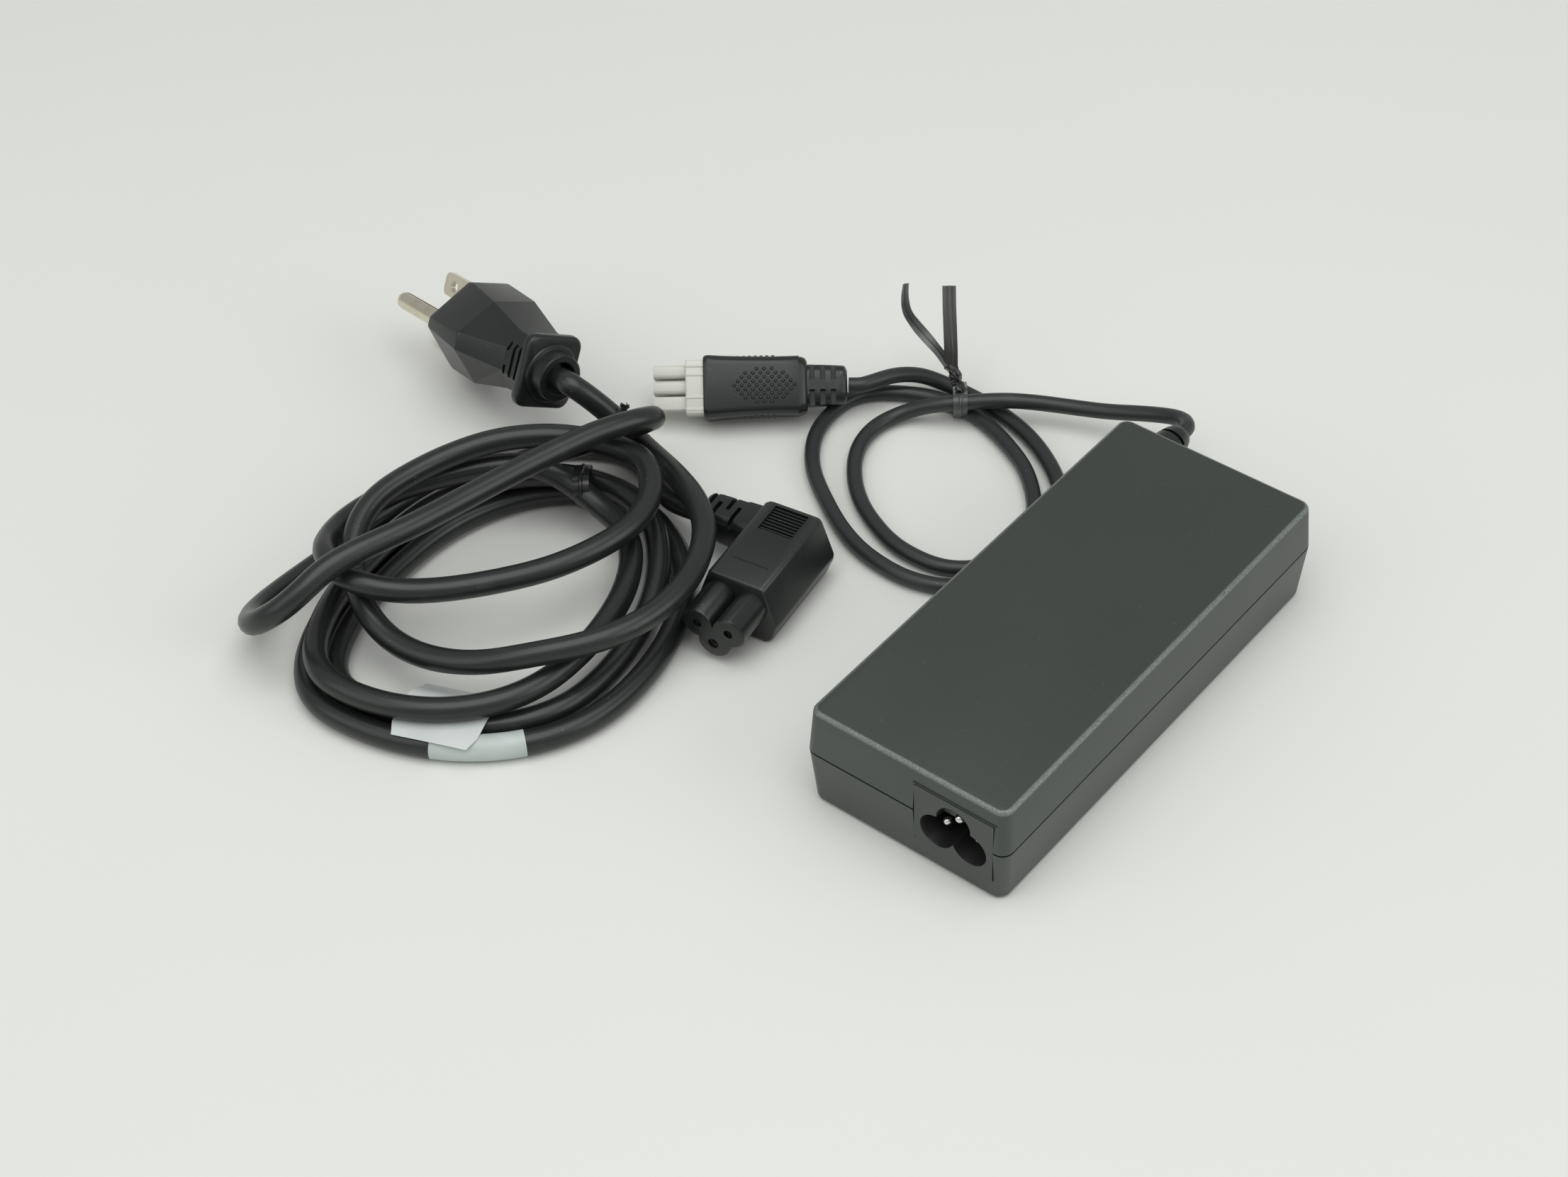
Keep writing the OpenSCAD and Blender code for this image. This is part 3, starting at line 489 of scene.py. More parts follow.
# The moulding's last colour, (0.06, 0.068, 0.064), is the painted sheen tone of the mains plug and
# the lighter tone of the plug's and connector's edges.
MOULD = MouldedPlastic(
    "plug_moulding", "mould_plastic", (0.007, 0.0095, 0.009), (0.010, 0.013, 0.012),
    (0.06, 0.068, 0.064), roughness=0.33, grain=1900.0, strength=0.3, dust=0.2,
)
WHITE_SHELL = MouldedPlastic(
    "contact_housing", "housing_white", (0.66, 0.665, 0.61), (0.61, 0.615, 0.55),
    (0.72, 0.72, 0.68), roughness=0.4, grain=2000.0, strength=0.12, dust=0.0,
)
THIN_JACKET = CordJacket(
    "thin_cord_jacket", "cord_jacket", (0.016, 0.0195, 0.0195), (0.02, 0.024, 0.0235)
)
MAINS_JACKET = CordJacket(
    "mains_cord_jacket", "cord_jacket", (0.011, 0.0135, 0.0125), (0.015, 0.018, 0.0165),
    roughness=0.33,
)
BRIGHT_PIN = PlatedMetal(
    "bright_pin", "pin_metal", (0.8, 0.8, 0.78), (0.68, 0.69, 0.68), roughness=0.16
)
PALE_BRASS = PlatedMetal(
    "pale_brass", "brass_metal", (0.78, 0.74, 0.62), (0.66, 0.61, 0.47), roughness=0.28
)
LABEL = LabelStock("bare_label", "label_paper", (0.66, 0.7, 0.68), (0.58, 0.63, 0.61))
DULL_LABEL = LabelStock("dull_label", "label_paper", (0.5, 0.56, 0.53), (0.42, 0.48, 0.455))
BLACK_TIE = MouldedPlastic(
    "black_tie", "tie_plastic", (0.014, 0.015, 0.015), (0.022, 0.023, 0.023), roughness=0.3,
    grain=1500.0, strength=0.15, dust=0.1,
)
GREY_FILM = TieFilm(
    "grey_film", "tie_plastic", (0.045, 0.05, 0.045), (0.08, 0.088, 0.08), clearness=0.1
)
DARK_FILM = TieFilm("dark_film", "tie_plastic", (0.014, 0.015, 0.013), (0.03, 0.031, 0.028))
PALE_FILM = TieFilm(
    "pale_film", "tie_plastic", (0.07, 0.075, 0.07), (0.16, 0.17, 0.16), clearness=0.3
)


def _part(
    name: str, slot: str, first: Colour, second: Colour, roughness: float = 0.45
) -> MouldedPlastic:
    """Gives a plain moulded or sleeved finish for an inner component.

    Args:
        name: the finish's name.
        slot: its slot.
        first: one tone.
        second: the other tone.
        roughness: its roughness.

    Returns:
        The finish.
    """
    return MouldedPlastic(
        name, slot, first, second, roughness=roughness, grain=1800.0, strength=0.2, dust=0.1
    )


def _wire(colour: str, first: Colour, second: Colour) -> CordJacket:
    """Gives the finish of a coloured inner wire."""
    return CordJacket(colour + "_wire", "cord_jacket", first, second)


# each inner finish, and the nodes that have it
INNER: tuple[tuple[Finish, str], ...] = (
    (BoardMask("solder_mask", "board", (0.02, 0.13, 0.05), (0.03, 0.2, 0.08)), "circuit_board"),
    (_part("fuse_tube", "component", (0.6, 0.58, 0.5), (0.7, 0.67, 0.58), 0.2), "fuse"),
    (_part("blue_dip", "component", (0.03, 0.1, 0.3), (0.04, 0.13, 0.36)), "varistor y_capacitor"),
    (_part("yellow_case", "component", (0.6, 0.42, 0.05), (0.66, 0.48, 0.08)), "x_capacitor"),
    (PlatedMetal(
        "enamelled_wire", "component", (0.55, 0.22, 0.08), (0.42, 0.15, 0.05), roughness=0.32
    ), "common_mode_choke"),
    (_part("dark_sleeve", "component", (0.02, 0.03, 0.1), (0.03, 0.04, 0.13), 0.3),
     "bulk_capacitor"),
    (_part("green_sleeve", "component", (0.02, 0.12, 0.08), (0.03, 0.16, 0.1), 0.3),
     "output_capacitor_a output_capacitor_b"),
    (_part("pressed_ferrite", "ferrite", (0.03, 0.03, 0.033), (0.05, 0.05, 0.053), 0.6),
     "transformer_core output_choke"),
    (_part("winding_tape", "tape", (0.6, 0.45, 0.06), (0.68, 0.53, 0.1), 0.3),
     "transformer_winding"),
    (PlatedMetal(
        "bare_sheet_metal", "heatsink", (0.66, 0.67, 0.68), (0.56, 0.57, 0.58), roughness=0.34
    ), "primary_heatsink secondary_heatsink shield_plate"),
    (_part("black_package", "inlet_plastic", (0.012, 0.012, 0.012), (0.02, 0.02, 0.02), 0.5),
     "power_transistor output_rectifier bridge_rectifier controller_chip"),
    (_part("pale_package", "inlet_plastic", (0.7, 0.7, 0.66), (0.76, 0.76, 0.72)),
     "optocoupler"),
    (_wire("brown", (0.16, 0.06, 0.025), (0.2, 0.08, 0.03)), "inlet_lead_line"),
    (_wire("blue", (0.02, 0.08, 0.3), (0.03, 0.1, 0.36)), "inlet_lead_neutral"),
    (_wire("green", (0.05, 0.25, 0.04), (0.3, 0.35, 0.04)), "inlet_lead_earth"),
    (_wire("red", (0.4, 0.02, 0.015), (0.45, 0.03, 0.02)), "output_lead_positive"),
    (_wire("black", (0.012, 0.012, 0.012), (0.02, 0.02, 0.02)), "output_lead_return"),
    (_part("soft_pad", "pad", (0.3, 0.42, 0.5), (0.35, 0.47, 0.55), 0.7), "thermal_pad"),
    (_part("fibre_sheet", "sheet", (0.6, 0.54, 0.34), (0.66, 0.6, 0.4), 0.6), "insulating_sheet"),
    (PALE_BRASS, "dc_terminals contact_line contact_neutral contact_earth"),
)


class PaintShop:
    """Makes each finish's material once."""

    def __init__(self) -> None:
        """Starts with no material."""
        self.made: dict[str, bpy.types.Material] = {}

    def coat(self, finish: Finish) -> bpy.types.Material:
        """Gives the material of a finish.

        Args:
            finish: the finish.

        Returns:
            Its material.
        """
        if finish.name not in self.made:
            self.made[finish.name] = finish.material()
        return self.made[finish.name]


# --- shaping


def placed(name: str, bm: Shape) -> Thing:
    """Stores a shape as an object in the scene.

    Args:
        name: the object's name.
        bm: the shape, freed here.

    Returns:
        The object.
    """
    mesh = bpy.data.meshes.new(name)
    bm.to_mesh(mesh)
    bm.free()
    obj = bpy.data.objects.new(name, mesh)
    bpy.context.scene.collection.objects.link(obj)
    return obj


def baked(*objects: Thing) -> Shape:
    """Reads the first object's shape with its modifiers, and removes all the objects.

    Args:
        objects: the object, then those that its modifiers use.

    Returns:
        The shape.
    """
    result = bmesh.new()
    result.from_object(objects[0], bpy.context.evaluated_depsgraph_get())
    for obj in objects:
        mesh = obj.data
        bpy.data.objects.remove(obj)
        bpy.data.meshes.remove(mesh)
    return result


def rounded(width: float, height: float, radius: float, steps: int = 5) -> list[Pair]:
    """Gives a rectangle with rounded corners.

    Args:
        width: size along the first axis.
        height: size along the second.
        radius: corner radius.
        steps: points per corner, less one.

    Returns:
        The outline, turning left.
    """
    points = []
    for i, (sx, sy) in enumerate(((1, 1), (-1, 1), (-1, -1), (1, -1))):
        for k in range(steps + 1):
            a = math.radians(90 * i + 90 * k / steps)
            points.append((
                sx * (width / 2 - radius) + radius * math.cos(a),
                sy * (height / 2 - radius) + radius * math.sin(a),
            ))
    return points


def filleted(corners: Sequence[tuple[float, float, float]], steps: int = 4) -> list[Pair]:
    """Rounds the corners of a polygon.

    Args:
        corners: place and radius of each corner, turning left.
        steps: points per corner, less one.

    Returns:
        The outline.
    """
    points = []
    count = len(corners)
    for i, (x, y, radius) in enumerate(corners):
        here = Vector((x, y))
        before = (Vector(corners[i - 1][:2]) - here).normalized()
        after = (Vector(corners[(i + 1) % count][:2]) - here).normalized()
        half = before.angle(after) / 2
        reach = radius / math.tan(half)
        centre = here + (before + after).normalized() * (radius / math.sin(half))
        first, last = here + before * reach - centre, here + after * reach - centre
        for k in range(steps + 1):
            turned = first.lerp(last, k / steps).normalized() * radius
            points.append(tuple(centre + turned))
    return points


def trefoil(radius: float, pitch: float, rise: float, count: int = 72) -> list[Pair]:
    """Gives the outline round three lobes.

    Args:
        radius: radius of each lobe.
        pitch: spacing of the two level lobes.
        rise: height of the third lobe, negative where it hangs below.
        count: points in the outline.

    Returns:
        The outline.
    """
    core = Vector((0.0, rise * 0.36))
    lobes = (Vector((-pitch / 2, 0.0)), Vector((pitch / 2, 0.0)), Vector((0.0, rise)))
    points = []
    for k in range(count):
        way = Vector((math.cos(math.tau * k / count), math.sin(math.tau * k / count)))
        reach = 0.0
        for lobe in lobes:
            along = (lobe - core).dot(way)
            aside = (lobe - core - along * way).length
            if aside < radius and along > -radius / 2:
                reach = max(reach, along + math.sqrt(radius ** 2 - aside ** 2))
        level = -core.y / way.y if abs(way.y) > 1e-6 else 99.0
        if 0 < level and abs((core + way * level).x) <= pitch / 2:
            reach = max(reach, level)
        points.append(tuple(core + way * reach))
    return points


def ring(bm: Shape, points: Iterable[Sequence[float]]) -> list[bmesh.types.BMEdge]:
    """Adds a closed loop of edges.

    Args:
        bm: the mesh.
        points: places of the corners.

    Returns:
        The loop's edges.
    """
    verts = [bm.verts.new(p) for p in points]
    return [bm.edges.new((a, verts[(i + 1) % len(verts)])) for i, a in enumerate(verts)]


def loft(sections: Sequence[Sequence[Point]], shut: bool = True, bm: Shape | None = None) -> Shape:
    """Skins a row of loops that have the same number of corners.

    Args:
        sections: the loops, in order.
        shut: whether the ends are closed.
        bm: the shape that the skin is added to, else a new one.

    Returns:
        The shape.
    """
    bm = bmesh.new() if bm is None else bm
    rings = [ring(bm, s) for s in sections]
    for near, far in zip(rings, rings[1:]):
        bmesh.ops.bridge_loops(bm, edges=near + far)
    if shut:
        for end in (rings[0], rings[-1]):
            bmesh.ops.edgeloop_fill(bm, edges=end)
    return bm


def along_x(outline: Iterable[Pair], x: float, size: float = 1.0) -> list[Vector]:
    """Stands an outline across the X axis."""
    return [Vector((x, a * size, b * size)) for a, b in outline]


def barrel(rows: Iterable[tuple[float, float, float, float]], steps: int = 5) -> Shape:
    """Skins rounded rectangles that stand across the X axis.

    Args:
        rows: place along X, width, height and corner radius of each.
        steps: points per corner, less one.

    Returns:
        The shape.
    """
    return loft([along_x(rounded(w, t, r, steps), x) for x, w, t, r in rows])


def lathe(profile: Sequence[Pair], steps: int = 40) -> Shape:
    """Turns a profile round the X axis.

    Args:
        profile: place along X and radius of each point.
        steps: faces round the axis.

    Returns:
        The shape.
    """
    bm = bmesh.new()
    verts = [bm.verts.new((x, 0.0, max(r, 0.0))) for x, r in profile]
    edges = [bm.edges.new(pair) for pair in zip(verts, verts[1:])]
    bmesh.ops.spin(
        bm, geom=verts + edges, cent=(0, 0, 0), axis=(1, 0, 0), angle=math.tau, steps=steps,
        use_merge=True,
    )
    bmesh.ops.remove_doubles(bm, verts=bm.verts, dist=1e-4)
    return bm


def block(bm: Shape, low: Point, high: Point) -> None:
    """Adds a box between two corners.

    Args:
        bm: the shape.
        low: its lowest corner.
        high: its highest corner.
    """
    size = [h - l for l, h in zip(low, high)]
    middle = [(h + l) / 2 for l, h in zip(low, high)]
    matrix = Matrix.Translation(middle) @ Matrix.Diagonal((*size, 1.0))
    bmesh.ops.create_cube(bm, size=1.0, matrix=matrix)


def blocks(*corners: tuple[Point, Point]) -> Shape:
    """Gives a shape of separate boxes.

    Args:
        corners: lowest and highest corner of each.

    Returns:
        The shape.
    """
    bm = bmesh.new()
    for low, high in corners:
        block(bm, low, high)
    return bm


def slots(places: Iterable[Pair], width: float, y: Pair, z: Pair) -> Shape:
    """Gives cutters for slots that reach in from one side, at both faces of a relief.

    Args:
        places: place along X of each slot, and the side that it reaches in from.
        width: its width along X.
        y: its inner and outer ends.
        z: its inner and outer depths.

    Returns:
        The cutters.
    """
    bm = bmesh.new()
    for x, side in places:
        y0, y1 = sorted((side * y[0], side * y[1]))
        for face in (-1, 1):
            z0, z1 = sorted((face * z[0], face * z[1]))
            block(bm, (x, y0, z0), (x + width, y1, z1))
    return bm


def sector(
    bm: Shape, x0: float, x1: float, r0: float, r1: float, middle: float, spread: float
) -> None:
    """Adds part of a flat ring round the X axis.

    Args:
        bm: the mesh.
        x0: its start along X.
        x1: its end along X.
        r0: inner radius.
        r1: outer radius.
        middle: angle of its middle, in degrees.
        spread: half of the angle that it covers.
    """
    sections = []
    for k in range(9):
        a = math.radians(middle - spread + spread * k / 4)
        c, s = math.cos(a), math.sin(a)
        sections.append([(x, r * c, r * s) for x, r in ((x0, r0), (x1, r0), (x1, r1), (x0, r1))])
    loft(sections, bm=bm)


def level(items: Iterable, z: float) -> list:
    """Gives the edges or faces that lie at a height."""
    return [item for item in items if all(abs(v.co.z - z) < 0.01 for v in item.verts)]


def bevel(bm: Shape, edges: list, width: float, segments: int, **more: bool) -> None:
    """Bevels edges.

    Args:
        bm: the shape.
        edges: the edges.
        width: width of the bevel.
        segments: its faces across.
        more: other settings.
    """
    bmesh.ops.bevel(
        bm, geom=edges, offset=width, offset_type="OFFSET", segments=segments, profile=0.5,
        affect="EDGES", material=-1, **more,
    )


def soften(bm: Shape, width: float, segments: int = 2, over: float = 30.0) -> None:
    """Bevels the edges that turn by more than an angle.

    Args:
        bm: the mesh.
        width: width of the bevel.
        segments: its faces across.
        over: the angle, in degrees.
    """
    bm.normal_update()
    sharp = [
        e for e in bm.edges
        if len(e.link_faces) == 2 and abs(e.calc_face_angle(0.0)) > math.radians(over)
    ]
    bevel(bm, sharp, width, segments, clamp_overlap=True)


def outward(bm: Shape) -> Shape:
    """Merges doubles and turns every face outwards.

    Args:
        bm: the shape.

    Returns:
        The same shape.
    """
    bmesh.ops.remove_doubles(bm, verts=bm.verts, dist=1e-5)
    bmesh.ops.recalc_face_normals(bm, faces=bm.faces)
    return bm


def carve(bm: Shape, cutter: Shape) -> Shape:
    """Cuts one closed shape out of another.

    Args:
        bm: what is cut, freed here.
        cutter: what cuts it, freed here.

    Returns:
        The cut shape.
    """
    kept, knife = placed("carving", outward(bm)), placed("carving", outward(cutter))
    modifier = kept.modifiers.new("cut", "BOOLEAN")
    modifier.operation, modifier.solver = "DIFFERENCE", "EXACT"
    modifier.use_self, modifier.object = True, knife
    return baked(kept, knife)


def turned(place: Sequence[float], *turns: tuple[str, float]) -> Matrix:
    """Gives a placement.

    Args:
        place: where the local origin goes.
        turns: axis and degrees of each turn, the outermost first.

    Returns:
        The placement.
    """
    matrix = Matrix.Translation(place)
    for axis, degrees in turns:
        matrix = matrix @ Matrix.Rotation(math.radians(degrees), 4, axis)
    return matrix


@dataclass
class Workshop:
    """Turns finished shapes into pieces of the object."""

    shop: PaintShop = field(default_factory=PaintShop)

    def dress(self, obj: Thing, body: Body, finish: Finish, stands_for: str = "") -> Thing:
        """Gives a piece its material and body, and hides the nodes that it replaces.

        Args:
            obj: the piece.
            body: the body that it rides on.
            finish: its finish.
            stands_for: the nodes that it replaces.

        Returns:
            The piece.
        """
        obj.data.materials.clear()
        obj.data.materials.append(self.shop.coat(finish))
        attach(obj, body.value)
        if stands_for:
            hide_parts(*stands_for.split())
        LOG.info("%s in %s", obj.name, finish.name)
        return obj


@dataclass
class Assembly:
    """A sub-assembly, made by a workshop on one body and at one placement."""

    work: Workshop
    body: Body = Body.ADAPTER
    place: Matrix = field(default_factory=lambda: Matrix.Identity(4))

    def piece(
        self, name: str, bm: Shape, finish: Finish, place: Matrix | None = None,
        stands_for: str = "", rub: Callable[[Vector], float] | None = None, crease: float = 32.0,
    ) -> None:
        """Makes a piece from a shape.

        Args:
            name: the piece's name.
            bm: its shape in millimetres, freed here.
            finish: its finish.
            place: its placement, else the assembly's own.
            stands_for: the nodes that it replaces.
            rub: how far a place mixes toward the finish's extra tone, from 0 to 1, in local
                millimetres; painted highlight and painted sheen where set.
            crease: edges that turn by more degrees stay sharp.
        """
        # Painted highlight, painted sheen and lighter edges, stored as a vertex attribute that the
        # material reads.
        if rub is not None:
            layer = bm.verts.layers.float.new("rub")
            for vert in bm.verts:
                vert[layer] = rub(vert.co)
        bm.normal_update()
        for face in bm.faces:
            face.smooth = True
        for edge in bm.edges:
            if len(edge.link_faces) == 2:
                edge.smooth = abs(edge.calc_face_angle(0.0)) <= math.radians(crease)
        bm.transform(Matrix.Scale(MM, 4) @ (self.place if place is None else place))
        self.work.dress(placed(name, bm), self.body, finish, stands_for)


# --- stage


@dataclass
class Studio:
    """Camera, floor and soft light."""

    azimuth: float = 220.0
    elevation: float = 43.446
    roll: float = -2.1196
    stand: tuple[float, float, float] = (-425.4, -269.8, 510.0)
    lens: float = 67.82
    floor_half: float = 3.0
    floor_drop: float = 0.0003
    sky: float = 0.42

    def camera(self) -> None:
        """Sets up the camera."""
        data = bpy.data.cameras.new("view")
        data.lens, data.sensor_width, data.sensor_fit = self.lens, 36.0, "HORIZONTAL"
        data.clip_start, data.clip_end = 0.01, 20.0
        obj = bpy.data.objects.new("view", data)
        az, el = math.radians(self.azimuth), math.radians(self.elevation)
        back = Vector((math.cos(el) * math.cos(az), math.cos(el) * math.sin(az), math.sin(el)))
        right = Vector((0, 0, 1)).cross(back).normalized()
        up = back.cross(right)
        frame = Matrix((right, up, back)).transposed().to_4x4()
        roll = Matrix.Rotation(math.radians(self.roll), 4, "Z")
        obj.matrix_world = Matrix.Translation(Vector(self.stand) * MM) @ frame @ roll
        bpy.context.scene.collection.objects.link(obj)
        bpy.context.scene.camera = obj

    def floor(self) -> None:
        """Lays the pale floor."""
        bm = bmesh.new()
        bmesh.ops.create_grid(bm, x_segments=2, y_segments=2, size=self.floor_half)
        obj = placed("floor", bm)
        obj.location.z = -self.floor_drop
        finish = Finish(
            "pale_floor", "", (0.735, 0.75, 0.715), (0.715, 0.73, 0.695), roughness=0.9, swing=0.0,
            drift=3.0, strength=0.0, specular=0.1,
        )
        obj.data.materials.append(finish.material())

    def lamp(self, name: str, place: Point, aim: Point, size: float, power: float) -> None:
        """Hangs a square soft lamp.

        Args:
            name: its name.
            place: where it hangs, in metres.
            aim: what it points at.
            size: its side.
            power: its power.
        """
        data = bpy.data.lights.new(name, "AREA")
        data.shape, data.size, data.energy = "SQUARE", size, power
        obj = bpy.data.objects.new(name, data)
        obj.location = place
        obj.rotation_euler = (Vector(place) - Vector(aim)).to_track_quat("Z", "Y").to_euler()
        bpy.context.scene.collection.objects.link(obj)

    def light(self) -> None:
        """Lights the scene evenly from above."""
        world = bpy.data.worlds.new("room")
        bpy.context.scene.world = world
        world.use_nodes = True
        sheet = Sheet(world.node_tree)
        sheet.named(sheet.tree.nodes["Background"], Color=(1.0, 1.0, 0.99), Strength=self.sky)
        self.lamp("overhead", (-0.2, -0.12, 1.35), (0, 0.05, 0), 1.3, 11.5)
        self.lamp("side", (0.4, -1.4, 0.75), (0, 0.0, 0), 1.1, 7.0)
        self.lamp("left", (-1.0, 0.45, 0.8), (0, 0.0, 0), 0.9, 2.5)
        bpy.context.scene.view_settings.view_transform = "Standard"

    def build(self) -> None:
        """Sets up the whole stage."""
        self.camera()
        self.floor()
        self.light()


# --- cords


def curve_point(a: Vector, b: Vector, c: Vector, d: Vector, t: float) -> Vector:
    """Gives a point between b and c on a smooth curve through a, b, c and d."""
    square, cube = 2 * a - 5 * b + 4 * c - d, 3 * b - a - 3 * c + d
    return 0.5 * (2 * b + (c - a) * t + square * t * t + cube * t ** 3)


def smooth_route(keys: Sequence[Point], per: int) -> list[Vector]:
    """Runs a smooth curve through chosen points.

    Args:
        keys: the points.
        per: points for each stretch.

    Returns:
        The curve's points, without the last key.
    """
    pts = [Vector(k) for k in keys]
    last = len(pts) - 1
    return [
        curve_point(pts[max(i - 1, 0)], pts[i], pts[i + 1], pts[min(i + 2, last)], k / per)
        for i in range(last) for k in range(per)
    ]


def quarter_turns(keys: Sequence[Point], per: int) -> list[Vector]:
    """Winds neat turns through their back, left, front and right points.

    Args:
        keys: the points, four for each turn.
        per: points for each quarter.

    Returns:
        The points, without the last key.
    """
    points = []
    for i in range(len(keys) - 1):
        a, b = keys[i], keys[i + 1]
        for k in range(per):
            t = math.pi / 2 * k / per
            s = (1 - math.cos(2 * t)) / 2
            z = a[2] + (b[2] - a[2]) * s
            j = i % 2  # the axis along which this quarter starts fast
            spot = [0.0, 0.0, z]
            spot[j] = a[j] + (b[j] - a[j]) * math.sin(t)
            spot[1 - j] = b[1 - j] + (a[1 - j] - b[1 - j]) * math.cos(t)
            points.append(Vector(spot))
    return points


def even(points: Sequence[Vector], step: float) -> list[Vector]:
    """Spaces points evenly along a route.

    Args:
        points: the route.
        step: about how far apart they go.

    Returns:
        The evenly spaced points, ends included.
    """
    total = sum((b - a).length for a, b in zip(points, points[1:]))
    count = max(8, round(total / step))
    out, walked, i = [points[0].copy()], 0.0, 0
    for k in range(1, count):
        want = total * k / count
        while walked + (points[i + 1] - points[i]).length < want:
            walked += (points[i + 1] - points[i]).length
            i += 1
        stretch = (points[i + 1] - points[i]).length
        out.append(points[i].lerp(points[i + 1], (want - walked) / max(stretch, 1e-9)))
    return out + [points[-1].copy()]


def relaxed(points: Sequence[Vector], rounds: int, hold: int = 4) -> list[Vector]:
    """Evens out bends, with the ends held.

    Args:
        points: the route.
        rounds: how many times it is smoothed.
        hold: points at each end that stay.

    Returns:
        The smoothed route.
    """
    pts = [p.copy() for p in points]
    for _ in range(rounds):
        pts = [
            p if i < hold or i >= len(pts) - hold else (pts[i - 1] + 2 * p + pts[i + 1]) / 4
            for i, p in enumerate(pts)
        ]
    return pts


def length_of(points: Sequence[Vector]) -> float:
    """Gives a route's length in millimetres."""
    return sum((b - a).length for a, b in zip(points, points[1:]))


@dataclass
class Cord:
    """A free cord on a chosen route."""

    work: Workshop
    name: str
    diameter: float
    body: Body
    finish: Finish
    stands_for: str
    route: list[Vector] = field(default_factory=list)

    def lay(self, route: Sequence[Vector], step: float, rounds: int) -> Thing:
        """Makes the cord as one smooth tube.

        Args:
            route: where it runs.
            step: spacing of its points.
            rounds: how many times its bends are evened out.

        Returns:
            The cord.
        """
        self.route = relaxed(even(route, step), rounds)
        data = bpy.data.curves.new(self.name, "CURVE")
        data.dimensions = "3D"
        data.bevel_depth = self.diameter / 2 * MM
        data.bevel_resolution = 5
        data.use_fill_caps = True
        spline = data.splines.new("POLY")
        spline.points.add(len(self.route) - 1)
        for point, at in zip(spline.points, self.route):
            point.co = (*(at * MM), 1.0)
        spline.use_smooth = True
        obj = bpy.data.objects.new(self.name, data)
        bpy.context.scene.collection.objects.link(obj)
        LOG.info("%s: %.1f mm", self.name, length_of(self.route))
        return self.work.dress(obj, self.body, self.finish, self.stands_for)


@dataclass
class ThinCord(Cord):
    """The low-voltage cord, from the brick to its plug."""

    name: str = "low_voltage_cord"
    diameter: float = 4.2
    body: Body = Body.ADAPTER
    finish: Finish = THIN_JACKET
    stands_for: str = "dc_cord_exit dc_cord_coil dc_cord_lead"
    exit_keys: Sequence[Point] = (
        (80, 20, 16), (84, 20.5, 15.6), (87, 23, 14.4), (88, 28, 12.6), (87, 36, 10.2),
        (84.5, 45, 8), (81.5, 54, 7), (78, 61.5, 7), (74, 68, 7.3), (70, 73, 7.4),
        (66, 77.5, 7.3), (62.5, 82, 6.9), (60, 86.5, 5.4), (58, 90, 3.6), (54, 93, 2.4),
    )
    loop_z: float = 2.2
    loop_keys: Sequence[Pair] = (
        (48.5, 94.3), (41.5, 93.5), (34.5, 90.3), (27.5, 84.8), (22, 78.3), (18, 71), (15, 63),
        (14.3, 55), (15.5, 47.5), (20, 41), (27, 37.5), (35, 37), (43, 39.5), (51, 45),
        (58.5, 53), (63, 61), (66, 68), (67.8, 74.5), (68.5, 81), (68, 87), (66.5, 92), (64, 97),
        (60, 102.5), (54.5, 106.3), (46.5, 107.2), (38, 105.5), (30.5, 101.4), (24, 95.5),
        (17.8, 87), (12.3, 78), (8.5, 69), (6.8, 60), (7, 51.5), (10, 43), (16, 36.5), (25, 32.4),
        (35, 31.3), (45, 33.2), (54, 38.2), (61, 45), (66.5, 53), (70.3, 61), (72.6, 69),
        (73.8, 77),
    )
    lead_keys: Sequence[Point] = (
        (73.9, 84, 2.4), (72.8, 89.5, 3.4), (70, 94, 5.6), (66, 97.2, 7.3), (61.5, 99.6, 8.3),
        (57.2, 100.9, 8.9), (53.625, 102.645, 9.11), (51.5, 105.3, 9.11),
    )

    def build(self) -> Thing:
        """Makes the cord.

        Returns:
            The cord.
        """
        loops = [(x, y, self.loop_z) for x, y in self.loop_keys]
        keys = [*self.exit_keys, *loops, *self.lead_keys]
        return self.lay(smooth_route(keys, 8) + [Vector(keys[-1])], 1.2, 6)


